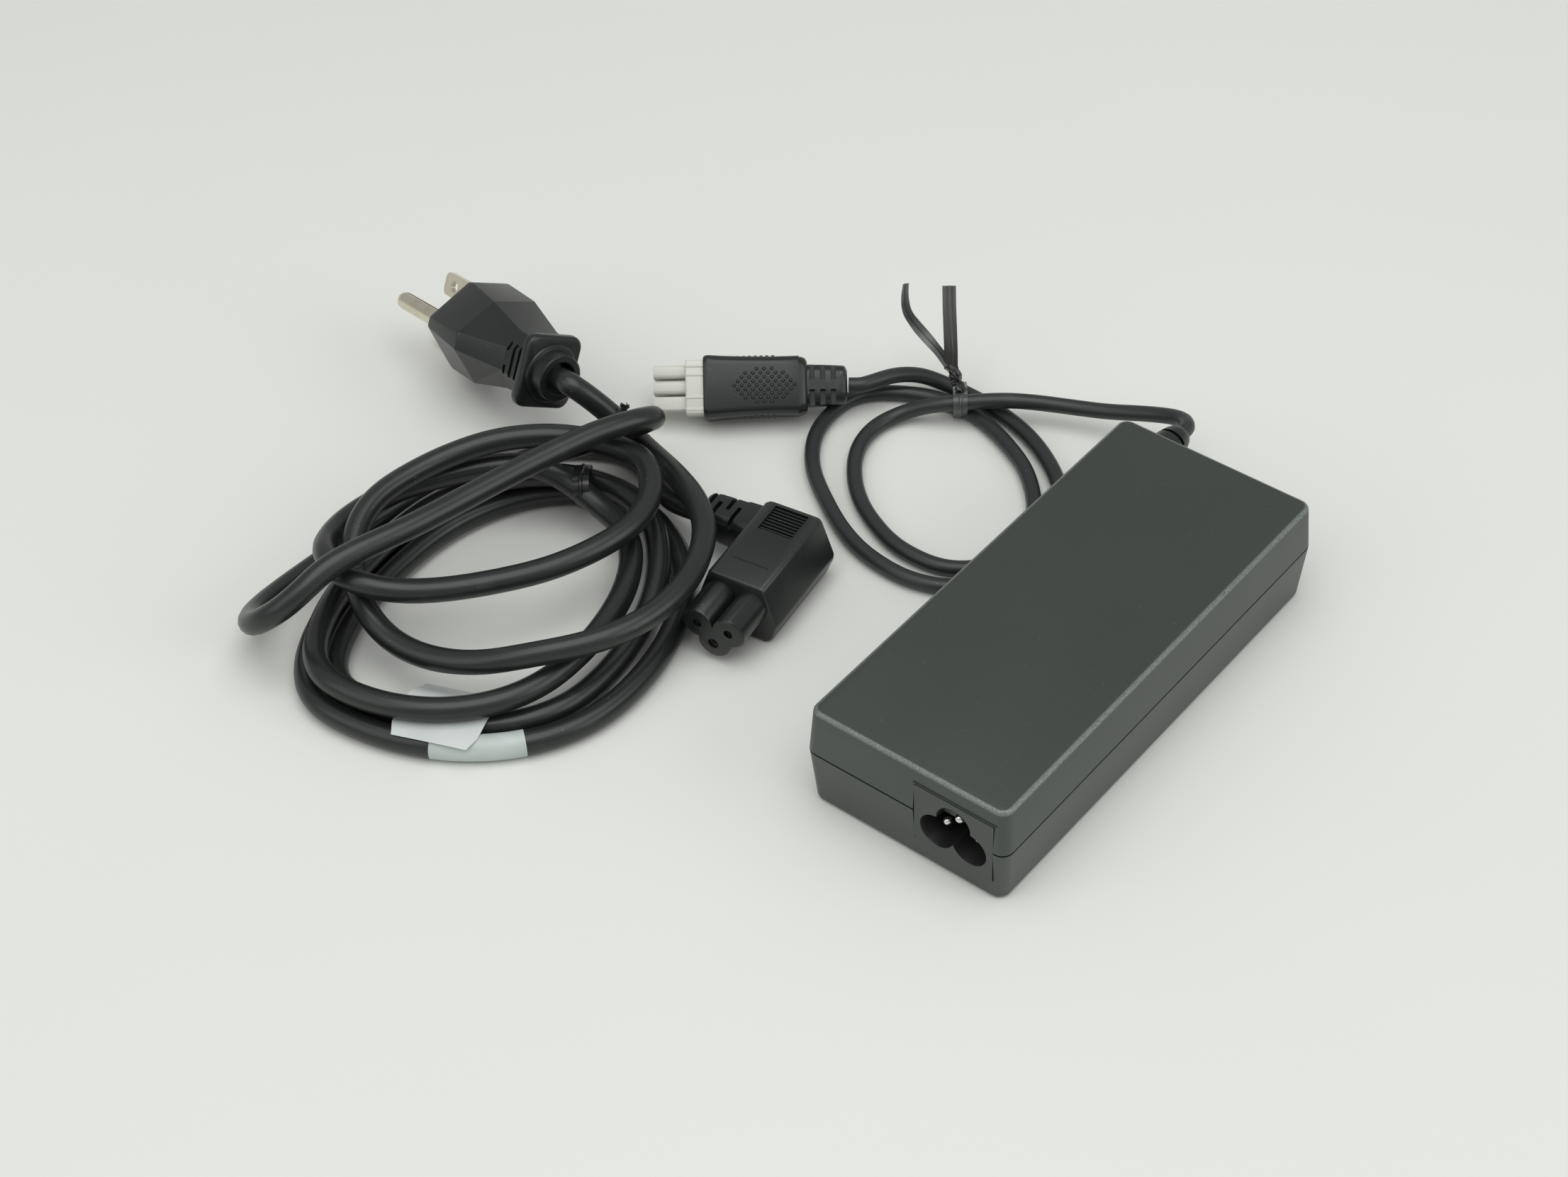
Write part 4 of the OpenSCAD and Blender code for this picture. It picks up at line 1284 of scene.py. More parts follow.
@dataclass
class MainsCord(Cord):
    """The mains cord, from the appliance connector to the mains plug."""

    name: str = "mains_cord"
    diameter: float = 6.2
    body: Body = Body.LEAD
    finish: Finish = MAINS_JACKET
    stands_for: str = "mains_cord_tail mains_cord_coil mains_cord_loose_turns mains_cord_lead"
    tail_keys: Sequence[Point] = (
        (-10.6, 113, 7.4), (-8, 119, 5.6), (-4, 125, 4.2), (-1, 132, 3.3), (0, 141, 3.2),
        (-5, 151, 3.2), (-14, 160, 3.2), (-27, 167.5, 3.2), (-43, 171.5, 3.2), (-60, 173, 3.2),
        (-78, 174, 3.2), (-93, 173.5, 4.5), (-104.5, 170, 8), (-111.3, 163.8, 13),
        (-112.3, 156.8, 19), (-107.3, 151.2, 24.6), (-97, 149, 29), (-87, 146, 30),
        (-74, 142, 30), (-58, 139, 29.5), (-40, 135, 29.5), (-22, 130, 29.5), (-11, 126, 28.5),
        (-3.4, 124.6, 25.4), (-1, 129, 21), (-6.4, 133.8, 18.4), (-12.3, 140, 15.6),
        (-18, 147.5, 12), (-25, 156, 7.8), (-38, 162.5, 4.2),
    )
    turn_keys: Sequence[Point] = (
        (-57, 165, 3.2), (-115, 136, 3.2), (-70, 81.5, 3.2), (-14.5, 124, 3.2), (-57, 157.5, 3.2),
        (-107.5, 136, 3.2), (-72, 89.5, 3.2), (-17.5, 125, 10), (-58, 161, 10), (-112, 136, 10),
        (-75, 94.5, 10), (-26, 124, 10),
    )
    loose_keys: Sequence[Point] = (
        (-26, 133, 13.2), (-29, 143, 17), (-36, 152, 17.5), (-46, 160, 17), (-57, 166, 16.5),
        (-70, 168.5, 16.5), (-81, 166, 18), (-89, 158.5, 21.8), (-92, 148, 22.5),
        (-88, 138, 21.2), (-79, 130, 19), (-68, 122, 18), (-57, 115, 17.8), (-46, 110.5, 18),
        (-35, 108.5, 18), (-25, 110, 18), (-17.5, 114.5, 19), (-13, 121, 20), (-14, 130, 20.5),
        (-18.5, 137, 22.5), (-25, 143.5, 24.5), (-34, 151.5, 25), (-45, 157.5, 24.5),
        (-57, 161, 24), (-68, 162, 23.5), (-77.5, 159.5, 21.5), (-85, 153.5, 18.5),
        (-90.5, 146, 15.5), (-93, 139, 13), (-94, 130, 11.8), (-92.5, 119, 12.5),
        (-88, 108, 14.5), (-80, 98, 17), (-71, 90, 18), (-60, 85, 18), (-49, 83.5, 18),
        (-38, 85, 18), (-27, 90, 17.6), (-19.5, 96, 17.5), (-14, 104, 17),
    )
    lead_keys: Sequence[Point] = (
        (-9.5, 113, 15.4), (-5.6, 122, 13.4), (-2.6, 130, 11.8), (-1.2, 136.5, 13), (-2, 142, 16.6),
        (-4.4, 146.4, 21.6),
    )

    def build(self, start: Matrix, plug: Matrix) -> Thing:
        """Makes the cord.

        Args:
            start: placement of the appliance connector.
            plug: placement of the mains plug.

        Returns:
            The cord.
        """
        out, way = start @ Vector((10.5, 24, 9)), start.to_3x3() @ Vector((0, 1, 0))
        end, axis = plug @ Vector((-5, 0, 0)), plug.to_3x3() @ Vector((1, 0, 0))
        tail = smooth_route([out, out + 5 * way, *self.tail_keys, self.turn_keys[0]], 8)
        hank = quarter_turns(self.turn_keys, 20)
        above = [self.turn_keys[-1], *self.loose_keys, *self.lead_keys, end - 5 * axis, end]
        return self.lay([*tail, *hank, *smooth_route(above, 8), end], 1.6, 10)


# --- brick


@dataclass
class Brick(Assembly):
    """The two covers, the mains inlet and the outlet's strain relief."""

    length: float = 130.0
    width: float = 56.6
    height: float = 29.0
    parting: float = 16.0
    groove: float = 0.5
    wall: float = 2.2
    corner: float = 3.0
    top_in: float = 0.85
    bottom_in: float = 1.2
    rim: float = 1.1
    inlet_y: float = -13.8
    inlet_z: float = 15.2
    inlet_w: float = 21.8
    inlet_h: float = 18.0
    fit: float = 0.16
    block_deep: float = 18.0
    socket_deep: float = 13.0
    lobe: float = 4.6
    lobes_down: float = 2.4
    pitch: float = 8.8
    rise: float = 5.0
    pin_deep: float = 19.0
    tongue_z: Pair = (14.6, 18.0)
    tongue_t: float = 1.1
    tongue_corner: float = 2.0
    notch_half: float = 11.1
    outlet_at: Point = (65.0, 20.0, 16.0)

    def _skin(self, z_wide: float, z_narrow: float, drawn: float) -> Shape:
        """Shapes one cover's outside, open at the parting line.

        Args:
            z_wide: height of its open edge.
            z_narrow: height of its flat face.
            drawn: how far the flat face is drawn in.

        Returns:
            The open skin.
        """
        bm = bmesh.new()
        half_l, half_w = self.length / 2, self.width / 2
        low, high = sorted((z_wide, z_narrow))
        block(bm, (-half_l, -half_w, low), (half_l, half_w, high))
        upright = [e for e in bm.edges if abs(e.verts[0].co.z - e.verts[1].co.z) > 1]
        bevel(bm, upright, self.corner, 7)
        for vert in bm.verts:
            if abs(vert.co.z - z_narrow) < 0.01:
                vert.co.x *= 1 - drawn / half_l
                vert.co.y *= 1 - drawn / half_w
        bm.normal_update()
        bevel(bm, level(bm.edges, z_narrow), self.rim, 4)
        bmesh.ops.delete(bm, geom=level(bm.faces, z_wide), context="FACES_ONLY")
        outward(bm)
        self._open_for_inlet(bm)
        return bm

    def _open_for_inlet(self, bm: Shape) -> None:
        """Cuts the inlet's rectangle out of the end wall.

        Args:
            bm: the cover's skin.
        """
        half_y, half_z = self.inlet_w / 2 + self.fit, self.inlet_h / 2 + self.fit
        low_y, high_y = self.inlet_y - half_y, self.inlet_y + half_y
        low_z, high_z = self.inlet_z - half_z, self.inlet_z + half_z
        for at, axis in (
            ((0, low_y, 0), (0, 1, 0)), ((0, high_y, 0), (0, 1, 0)),
            ((0, 0, low_z), (0, 0, 1)), ((0, 0, high_z), (0, 0, 1)),
        ):
            bm.normal_update()
            end = self._end_wall(bm)
            geom = list(dict.fromkeys(g for f in end for g in (f, *f.edges, *f.verts)))
            bmesh.ops.bisect_plane(bm, geom=geom, dist=1e-4, plane_co=at, plane_no=axis)
        bm.normal_update()
        hole = []
        for face in self._end_wall(bm):
            middle = face.calc_center_median()
            if low_y < middle.y < high_y and low_z < middle.z < high_z:
                hole.append(face)
        bmesh.ops.delete(bm, geom=hole, context="FACES")

    @staticmethod
    def _end_wall(bm: Shape) -> list[bmesh.types.BMFace]:
        """Gives the faces of the inlet's end wall."""
        return [f for f in bm.faces if f.normal.x < -0.98 and f.calc_center_median().x < -60]

    def _walled(self, bm: Shape) -> Shape:
        """Gives an open skin its wall.

        Args:
            bm: the skin, freed here.

        Returns:
            The hollow cover.
        """
        obj = placed("walling", bm)
        modifier = obj.modifiers.new("wall", "SOLIDIFY")
        modifier.thickness, modifier.offset, modifier.use_even_offset = self.wall, -1.0, True
        return baked(obj)

    def _rim_highlight(self, at: Vector) -> float:
        """Says how much painted highlight a place on the covers gets: along the top face's rim."""
        over = max(abs(at.x) - self.length / 2, abs(at.y) - self.width / 2) + 2.2
        return 0.9 if self.height - 0.75 < at.z < self.height - 0.02 and over > 0 else 0.0

    def covers(self) -> None:
        """Makes both covers and the tongue between them."""
        upper = self._walled(self._skin(self.parting + self.groove / 2, self.height, self.top_in))
        front = -self.length / 2 + self.top_in * 0.66
        y = self.inlet_y
        block(upper, (front - 0.28, y - 11.6, 24.5), (front + 0.4, y + 11.4, 24.72))
        # The top face's rim gets a speckled painted highlight.
        self.piece(
            "upper_cover", upper, CASE, stands_for="top_cover", rub=self._rim_highlight, crease=40
        )
        lower = self._walled(self._skin(self.parting - self.groove / 2, 0.0, self.bottom_in))
        tongue = bmesh.new()
        for size in (self.wall, self.wall + 2 * self.tongue_t):
            outline = rounded(self.length - size, self.width - size, self.tongue_corner)
            loft([[(x, y, z) for x, y in outline] for z in self.tongue_z], False, tongue)
        for z in self.tongue_z:
            bmesh.ops.bridge_loops(tongue, edges=level(tongue.edges, z))
        notch = blocks(((-70, y - self.notch_half, 5), (-60, y + self.notch_half, 25)))
        joint = placed("tongue", carve(tongue, notch))
        lower.from_mesh(joint.data)
        baked(joint).free()
        self.piece("lower_cover", lower, CASE, stands_for="bottom_cover", crease=40)

    def inlet(self) -> None:
        """Makes the inlet's block with its three-lobed socket, and the pins."""
        front, low = -self.length / 2 + 0.25, self.inlet_z - self.lobes_down
        outline = trefoil(self.lobe, self.pitch, self.rise, 90)
        bm = bmesh.new()
        plan = filleted([
            (self.inlet_w / 2, self.inlet_h / 2, 0.4), (-self.inlet_w / 2, self.inlet_h / 2, 0.4),
            (-self.inlet_w / 2, -self.inlet_h / 2, 0.4), (self.inlet_w / 2, -self.inlet_h / 2, 1.8),
        ])
        outer = ring(bm, [(front, self.inlet_y + y, self.inlet_z + z) for y, z in plan])
        mouth = ring(bm, [(front, self.inlet_y + y * 1.02, low + z * 1.02) for y, z in outline])
        bmesh.ops.triangle_fill(bm, use_beauty=True, use_dissolve=False, edges=outer + mouth)
        behind = front + self.block_deep
        back = ring(bm, [(behind, self.inlet_y + y, self.inlet_z + z) for y, z in plan])
        bmesh.ops.bridge_loops(bm, edges=outer + back)
        bmesh.ops.edgeloop_fill(bm, edges=back)
        outward(bm)
        self.piece("inlet_block", bm, INSERT, stands_for="inlet_housing")
        well = loft([
            [(front + x, self.inlet_y + y * s, low + z * s) for y, z in outline]
            for x, s in ((0.0, 1.02), (0.3, 1.0), (self.socket_deep, 0.99))
        ], False)
        deep = front + self.socket_deep - 0.1
        floor = [e for e in well.edges if all(v.co.x > deep for v in e.verts)]
        bmesh.ops.edgeloop_fill(well, edges=floor)
        bmesh.ops.recalc_face_normals(well, faces=well.faces)
        bmesh.ops.reverse_faces(well, faces=well.faces)
        self.piece("socket_lining", well, SOCKET_DARK)
        for name, dy, dz, recess in (
            ("inlet_pin_line", self.pitch / 2, 0.0, 3.0),
            ("inlet_pin_neutral", -self.pitch / 2, 0.0, 3.0),
            ("inlet_pin_earth", 0.0, self.rise, 1.5),
        ):
            pin = outward(lathe([
                (0, 0), (0.12, 0.5), (0.45, 0.9), (0.9, 1.15), (1.4, 1.2),
                (self.pin_deep - recess, 1.2), (self.pin_deep - recess, 0),
            ], 28))
            stand = turned((front + recess, self.inlet_y + dy, low + dz))
            self.piece(name.replace("inlet_", "domed_"), pin, BRIGHT_PIN, stand, name)

    def outlet(self) -> None:
        """Makes the slotted strain relief where the thin cord leaves."""
        bm = lathe([
            (-1.0, 0), (-1.0, 5.3), (0.4, 5.3), (3.0, 5.2), (6.5, 4.9), (10, 4.4), (12.8, 3.8),
            (14.4, 3.2), (15.0, 2.7), (15.2, 2.1), (15.2, 0),
        ], 56)
        cutter = bmesh.new()
        for x0, x1, first in ((2.6, 3.9, 90), (6.3, 7.4, 0), (9.7, 10.8, 90)):
            for middle in (first, first + 180):
                sector(cutter, x0, x1, 2.9, 7.0, middle, 66)
        self.piece("outlet_relief", carve(bm, cutter), MOULD, turned(self.outlet_at), "dc_boot")

    def build(self) -> None:
        """Makes the brick."""
        self.covers()
        self.inlet()
        self.outlet()


# --- low-voltage plug


@dataclass
class ThinPlug(Assembly):
    """The low-voltage plug: slotted relief, gripped overmould and white six-way housing."""

    place: Matrix = field(
        default_factory=lambda: turned((51.5, 105.3, 9.11), ("Z", 128.7), ("X", -45))
    )
    relief: float = 11.0
    grip_l: float = 27.5
    pitch: float = 4.2

    def strain_relief(self) -> None:
        """Makes the slotted relief."""
        bm = barrel([
            (0.4, 7.6, 6.8, 3.0), (0.9, 9.6, 8.4, 3.0), (1.4, 10.2, 9.0, 3.0), (6, 10.8, 9.2, 3.0),
            (11.5, 11.2, 9.6, 3.0),
        ])
        places = [(x, side) for x in (3.4, 6.2, 9.0) for side in (-1, 1)]
        bm = carve(bm, slots(places, 1.4, (1.3, 7.0), (2.6, 6.0)))
        self.piece("plug_relief", bm, MOULD, stands_for="dc_plug_boot")

    def overmould(self) -> None:
        """Makes the waisted overmould with its dots and side ribs."""
        x0, x1 = self.relief, self.relief + self.grip_l
        bm = barrel([
            (x0, 12.6, 9.4, 2.4), (x0 + 0.5, 14.2, 10.8, 2.6), (x0 + 1.3, 14.9, 11.5, 2.6),
            (x0 + 1.9, 15.1, 11.7, 2.6), (x0 + 2.3, 15.6, 12.0, 2.4), (x0 + 9, 15.5, 12.0, 2.4),
            (x0 + 17, 15.9, 12.0, 2.4), (x0 + 23, 16.5, 12.0, 2.4), (x1 - 1.4, 17.0, 12.0, 2.4),
            (x1 - 0.5, 16.8, 11.8, 2.4), (x1 - 0.1, 16.2, 11.3, 2.3), (x1, 15.6, 10.8, 2.2),
        ], 6)
        outward(bm)
        grip = bmesh.new()
        for side in (1, -1):
            for row in range(-4, 5):
                for column in range(-9, 10):
                    if (row + column) % 2:
                        continue
                    x, y = column * 1.0, row * 1.08
                    if (x / 8.3) ** 2 + (y / 4.9) ** 2 > 1:
                        continue
                    stand = turned(
                        (self.relief + 11.3 + x, y, side * 6.12), ("X", 0 if side > 0 else 180)
                    )
                    bmesh.ops.create_cone(
                        grip, cap_ends=True, segments=8, radius1=0.6, radius2=0.3, depth=0.5,
                        matrix=stand,
                    )
        for side in (1, -1):
            for k in range(9):
                x = self.relief + 8.6 + k * 1.55
                block(grip, (x, side * 7.75 - 0.35, -3.2), (x + 0.8, side * 7.75 + 0.35, 3.2))
        self.piece("plug_grip", grip, MOULD)
        # Lighter along the four long corners.
        self.piece(
            "plug_overmould", bm, MOULD, stands_for="dc_plug_overmould",
            rub=lambda at: 0.3 if abs(at.y) > 7.1 and abs(at.z) > 5.2 else 0.0,
        )

    def housing(self) -> None:
        """Makes the white housing with its ribbed collar and six chimneys."""
        x2 = self.relief + self.grip_l
        bm = barrel([
            (x2 - 3, 12.6, 8.4, 0.7), (x2 - 0.2, 12.6, 8.4, 0.7), (x2 - 0.1, 14.4, 10.2, 0.7),
            (x2 + 4.4, 14.4, 10.2, 0.7), (x2 + 4.7, 14.0, 9.8, 0.7),
        ], 3)
        for y in (-5.6, -3.3, 2.7, 5.9):
            block(bm, (x2 - 0.1, y - 0.3, -5.35), (x2 + 4.5, y + 0.3, 5.35))
        for i in (-1, 0, 1):
            for j in (-0.5, 0.5):
                round_r = 0.3 if (i == 1) == (j > 0) else 1.1
                outer = rounded(3.5, 3.5, round_r, 4)
                inner = rounded(2.5, 2.5, min(round_r, 0.6), 4)
                middle = (i * self.pitch, j * self.pitch)
                loft([
                    [(x2 + x, a * s + middle[0], b * s + middle[1]) for a, b in line]
                    for line, x, s in (
                        (outer, 4.4, 1.0), (outer, 12.9, 1.0), (outer, 13.2, 0.94),
                        (inner, 13.2, 1.05), (inner, 12.8, 1.0), (inner, 4.8, 1.0),
                    )
                ], False, bm)
        self.piece("contact_housing", outward(bm), WHITE_SHELL, stands_for="dc_connector_housing")

    def build(self) -> None:
        """Makes the plug."""
        self.strain_relief()
        self.overmould()
        self.housing()


# --- ties


def strand_band(spots: Sequence[Pair], radius: float, steps: int = 64) -> list[Pair]:
    """Gives the line that a tie takes round strands.

    Args:
        spots: middle of each strand in the tie's plane.
        radius: distance of the tie from each middle.
        steps: points round the line.

    Returns:
        The convex line round the strands.
    """
    line = []
    for k in range(steps):
        a = math.tau * k / steps
        way = Vector((math.cos(a), math.sin(a)))
        best = max(spots, key=lambda s: Vector(s).dot(way))
        line.append((best[0] + radius * way.x, best[1] + radius * way.y))
    return line


def ribbon(
    path: Sequence[Vector], across: Callable[[float], Vector], width: float, core: float,
    bm: Shape | None = None,
) -> Shape:
    """Makes a flat tie with a thicker wire along its middle.

    Args:
        path: the tie's middle line.
        across: the direction over its width, for a share of its length.
        width: its width.
        core: radius of the wire.
        bm: the shape that it is added to, else a new one.

    Returns:
        The shape.
    """
    sections = []
    for i, at in enumerate(path):
        ahead = (path[min(i + 1, len(path) - 1)] - path[max(i - 1, 0)]).normalized()
        side = across(i / (len(path) - 1))
        side = (side - ahead * side.dot(ahead)).normalized()
        face = ahead.cross(side)
        sections.append([
            at + side * (width * s) + face * h for s, h in (
                (-0.5, -0.1), (-0.16, -0.12), (-0.08, -core), (0.08, -core), (0.16, -0.12),
                (0.5, -0.1), (0.5, 0.1), (0.16, 0.12), (0.08, core), (-0.08, core), (-0.16, 0.12),
                (-0.5, 0.1),
            )
        ])
    return loft(sections, bm=bm)


@dataclass
class Tie(Assembly):
    """A flat tie: a band round some strands, and a twist of its two ends."""

    spots: Sequence[Pair] = ()
    radius: float = 3.0
    hub: Pair = (0.0, 0.0)
    half: float = 2.0

    def band(self, name: str, finish: Finish, stands_for: str) -> None:
        """Makes the band.

        Args:
            name: the piece's name.
            finish: its finish.
            stands_for: the node that it replaces.
        """
        line, (hub_y, hub_z) = strand_band(self.spots, self.radius), self.hub
        profile = ((1.0, 1.0), (1.0, 1.05), (0.5 / self.half, 1.06), (0.25 / self.half, 1.11))
        rows = [(-x * self.half, s) for x, s in profile]
        rows += [(-x, s) for x, s in reversed(rows)]
        bm = loft([
            [(x, (y - hub_y) * s + hub_y, (z - hub_z) * s + hub_z) for y, z in line]
            for x, s in rows
        ], False)
        bmesh.ops.bridge_loops(bm, edges=[e for e in bm.edges if e.is_boundary])
        outward(bm)
        for vert in bm.verts:
            vert.co.z = max(vert.co.z, 0.05)
        self.piece(name, bm, finish, stands_for=stands_for)

    def twist(
        self, name: str, ends: Pair, reach: Point, turns: float, count: int, swirl: float,
        lean: float, width: float, core: float,
    ) -> None:
        """Makes two strips that are twisted round each other.

        Args:
            name: the piece's name.
            ends: where the twist starts and stops.
            reach: how far a strip stands off the middle, along each axis.
            turns: turns of a strip.
            count: points along it, less one.
            swirl: how much its flat side turns.
            lean: how upright its flat side stands.
            width: a strip's width.
            core: radius of its wire.
        """
        low, high = ends
        bm = bmesh.new()
        for lag in (0.0, math.pi):
            coil = []
            for k in range(count + 1):
                a = math.tau * turns * k / count + lag
                off = [r * f for r, f in zip(reach, (math.cos(a), math.cos(a), math.sin(a)))]
                coil.append(low.lerp(high, k / count) + Vector(off))
            ribbon(
                coil, lambda t: Vector((math.cos(swirl * t), math.sin(swirl * t), lean)), width,
                core, bm,
            )
        self.piece(name, outward(bm), BLACK_TIE, Matrix.Identity(4))


@dataclass
class ThinTie(Tie):
    """The flat tie round the thin cord's strands, with its two loose ends."""

    place: Matrix = field(default_factory=lambda: turned((67, 80, 0), ("Z", -53.1)))
    spots: Sequence[Pair] = ((-2.3, 7.3), (1.3, 2.35), (8.3, 2.45))
    radius: float = 2.25
    hub: Pair = (3.0, 4.0)
    half: float = 1.9

    def build(self) -> None:
        """Makes the band, the knot and the two ends."""
        self.band("thin_tie_band", GREY_FILM, "dc_tie")
        ends = Vector((66.2, 79.4, 9.6)), Vector((68.4, 84.2, 14.4))
        self.twist("thin_tie_knot", ends, (0.75, -0.75, 0.75), 1.5, 18, 9, 0.6, 2.2, 0.4)
        right = smooth_route([
            (68.2, 84, 14), (70, 85.4, 18), (73, 87.9, 22.5), (76.5, 90.8, 27), (80, 93.5, 30.8),
        ], 6)
        left = smooth_route([
            (68.2, 84, 14), (68.6, 87.6, 17), (69, 92, 19.6), (69.4, 96.2, 22), (69.9, 99.6, 24.6),
            (71.4, 101.6, 27.6), (74, 103.2, 30.6),
        ], 6)
        for name, path, across, width, core, finish in (
            ("thin_tie_end_right", right, lambda t: Vector((0.62, -0.78, 0)), 3.6, 0.3, DARK_FILM),
            ("thin_tie_end_left", left, self._curl, 3.0, 0.13, PALE_FILM),
            ("thin_tie_wire", left, self._curl, 0.9, 0.34, BLACK_TIE),
        ):
            strip = outward(ribbon(path, across, width, core))
            self.piece(name, strip, finish, Matrix.Identity(4))

    @staticmethod
    def _curl(t: float) -> Vector:
        """Gives the direction over the curled end's width."""
        return Vector((0.4 - 0.5 * t, -0.5, -0.5 + t))


@dataclass
class MainsTie(Tie):
    """The shiny flat tie round the hank, with its twisted end."""

    body: Body = Body.LEAD
    place: Matrix = field(default_factory=lambda: turned((-20, 136, 0), ("Z", -51.5)))
    spots: Sequence[Pair] = ((2, 3.3), (0.2, 10), (-6.4, 13.4))
    radius: float = 3.35
    hub: Pair = (1.0, 6.5)
    half: float = 2.1

    def build(self) -> None:
        """Makes the band and the twisted end."""
        self.band("mains_tie_band", BLACK_TIE, "mains_tie")
        ends = Vector((-9.8, 136.2, 20.6)), Vector((-6.6, 132.2, 27.6))
        self.twist("mains_tie_twist", ends, (0.6, -0.5, 0.6), 2, 24, 11, 0.5, 1.8, 0.5)


# --- appliance connector


@dataclass
class ApplianceConnector(Assembly):
    """The right-angle three-contact connector."""

    body: Body = Body.LEAD
    place: Matrix = field(default_factory=lambda: turned((-16.9, 78.1, 0), ("Z", 9)))
    length: float = 30.6
    width: float = 23.0
    height: float = 17.5
    nose: float = 11.5
    relief_at: float = 10.5
    relief_end: float = 24.0
    axis: float = 9.0

    def shell(self) -> None:
        """Makes the wedge-sided body with its ribbed window."""
        w, h = self.width / 2, self.height
        outline = filleted([
            (w - 2.4, 0.2, 1.6), (w, 6.6, 2.2), (7.75, h, 1.6), (-7.75, h, 1.6), (-w, 6.6, 2.2),
            (-w + 2.4, 0.2, 1.6),
        ], 5)
        half = self.length / 2
        bm = loft([
            [(x, y * (1 - inset / w), (z - 7) * (1 - inset / 12) + 7) for y, z in outline]
            for x, inset in (
                (-half, 0.9), (-half + 0.25, 0.35), (-half + 0.9, 0.0), (half - 2.0, 0.0),
                (half - 1.1, 0.35), (half - 0.4, 1.0), (half, 2.0),
            )
        ])
        bm = carve(bm, blocks(((3.9, -4.7, h - 1.0), (13.1, 4.7, h + 1))))
        for k in range(8):
            x = 4.5 + k * 1.1
            block(bm, (x, -4.75, h - 1.1), (x + 0.45, 4.75, h - 0.4))
        block(bm, (-8.2, -5.0, h - 0.1), (-7.9, 4.8, h + 0.14))
        # Lighter along the top face's side edges.
        self.piece(
            "connector_body_dressed", bm, MOULD, stands_for="connector_body",
            rub=lambda at: 0.25 if at.z > h - 1.6 and abs(at.y) > 6.6 else 0.0,
        )

    def snout(self) -> None:
        """Makes the three-lobed nose with its contact holes."""
        outline = trefoil(4.3, 8.8, -5.0, 96)
        x0 = -self.length / 2 - self.nose
        bm = loft([
            [(x, y * s, (z + 1.5) * s - 1.5 + self.axis + 2) for y, z in outline]
            for x, s in (
                (x0, 0.93), (x0 + 0.15, 0.965), (x0 + 0.5, 1.0), (-self.length / 2 + 2.5, 1.0),
            )
        ])
        cutter = bmesh.new()
        for y, z, size in ((-4.4, 0.0, 1.25), (4.4, 0.0, 1.25), (0.0, -5.0, 1.45)):
            bmesh.ops.create_cone(
                cutter, cap_ends=True, segments=28, radius1=size, radius2=size, depth=9.0,
                matrix=turned((x0 + 3.5, y, z + self.axis + 2), ("Y", 90)),
            )
        self.piece("connector_snout", carve(bm, cutter), MOULD, stands_for="connector_nose")

    def strain_relief(self) -> None:
        """Makes the relief with slots from alternate sides."""
        stand = turned((self.relief_at, 0, self.axis), ("Z", 90))
        start, end = self.width / 2 - 2.5, self.relief_end
        bm = barrel([
            (start, 11.4, 10.6, 2.6), (start + 4.2, 11.0, 10.4, 2.6), (start + 5, 10.6, 10.0, 2.6),
            (end - 3.2, 10.2, 9.6, 2.6), (end - 0.9, 9.8, 9.2, 2.6), (end - 0.2, 8.8, 8.4, 2.6),
            (end, 7.4, 7.0, 2.6),
        ], 6)
        places = ((13.6, 1), (16.4, -1), (19.2, 1), (21.8, -1))
        bm = carve(bm, slots(places, 1.15, (-1.0, 7.0), (2.9, 7.0)))
        self.piece("connector_relief", bm, MOULD, self.place @ stand, "connector_boot")

    def build(self) -> None:
        """Makes the connector."""
        self.shell()
        self.snout()
        self.strain_relief()


# --- mains plug


@dataclass(frozen=True)
class PlugSection:
    """One section of the mains plug: blunt peak on the earth pin's side, shoulders and far side."""

    x: float
    peak: Pair
    shoulder: Pair
    far: Pair
    radius: float = 0.8

    def outline(self) -> list[Pair]:
        """Gives the section's outline."""
        near, sides = self.peak, (self.shoulder, self.far)
        corners = [(near[0], -near[1]), near, *sides, *((y, -z) for y, z in reversed(sides))]
        return filleted([(*corner, self.radius) for corner in corners], 3)


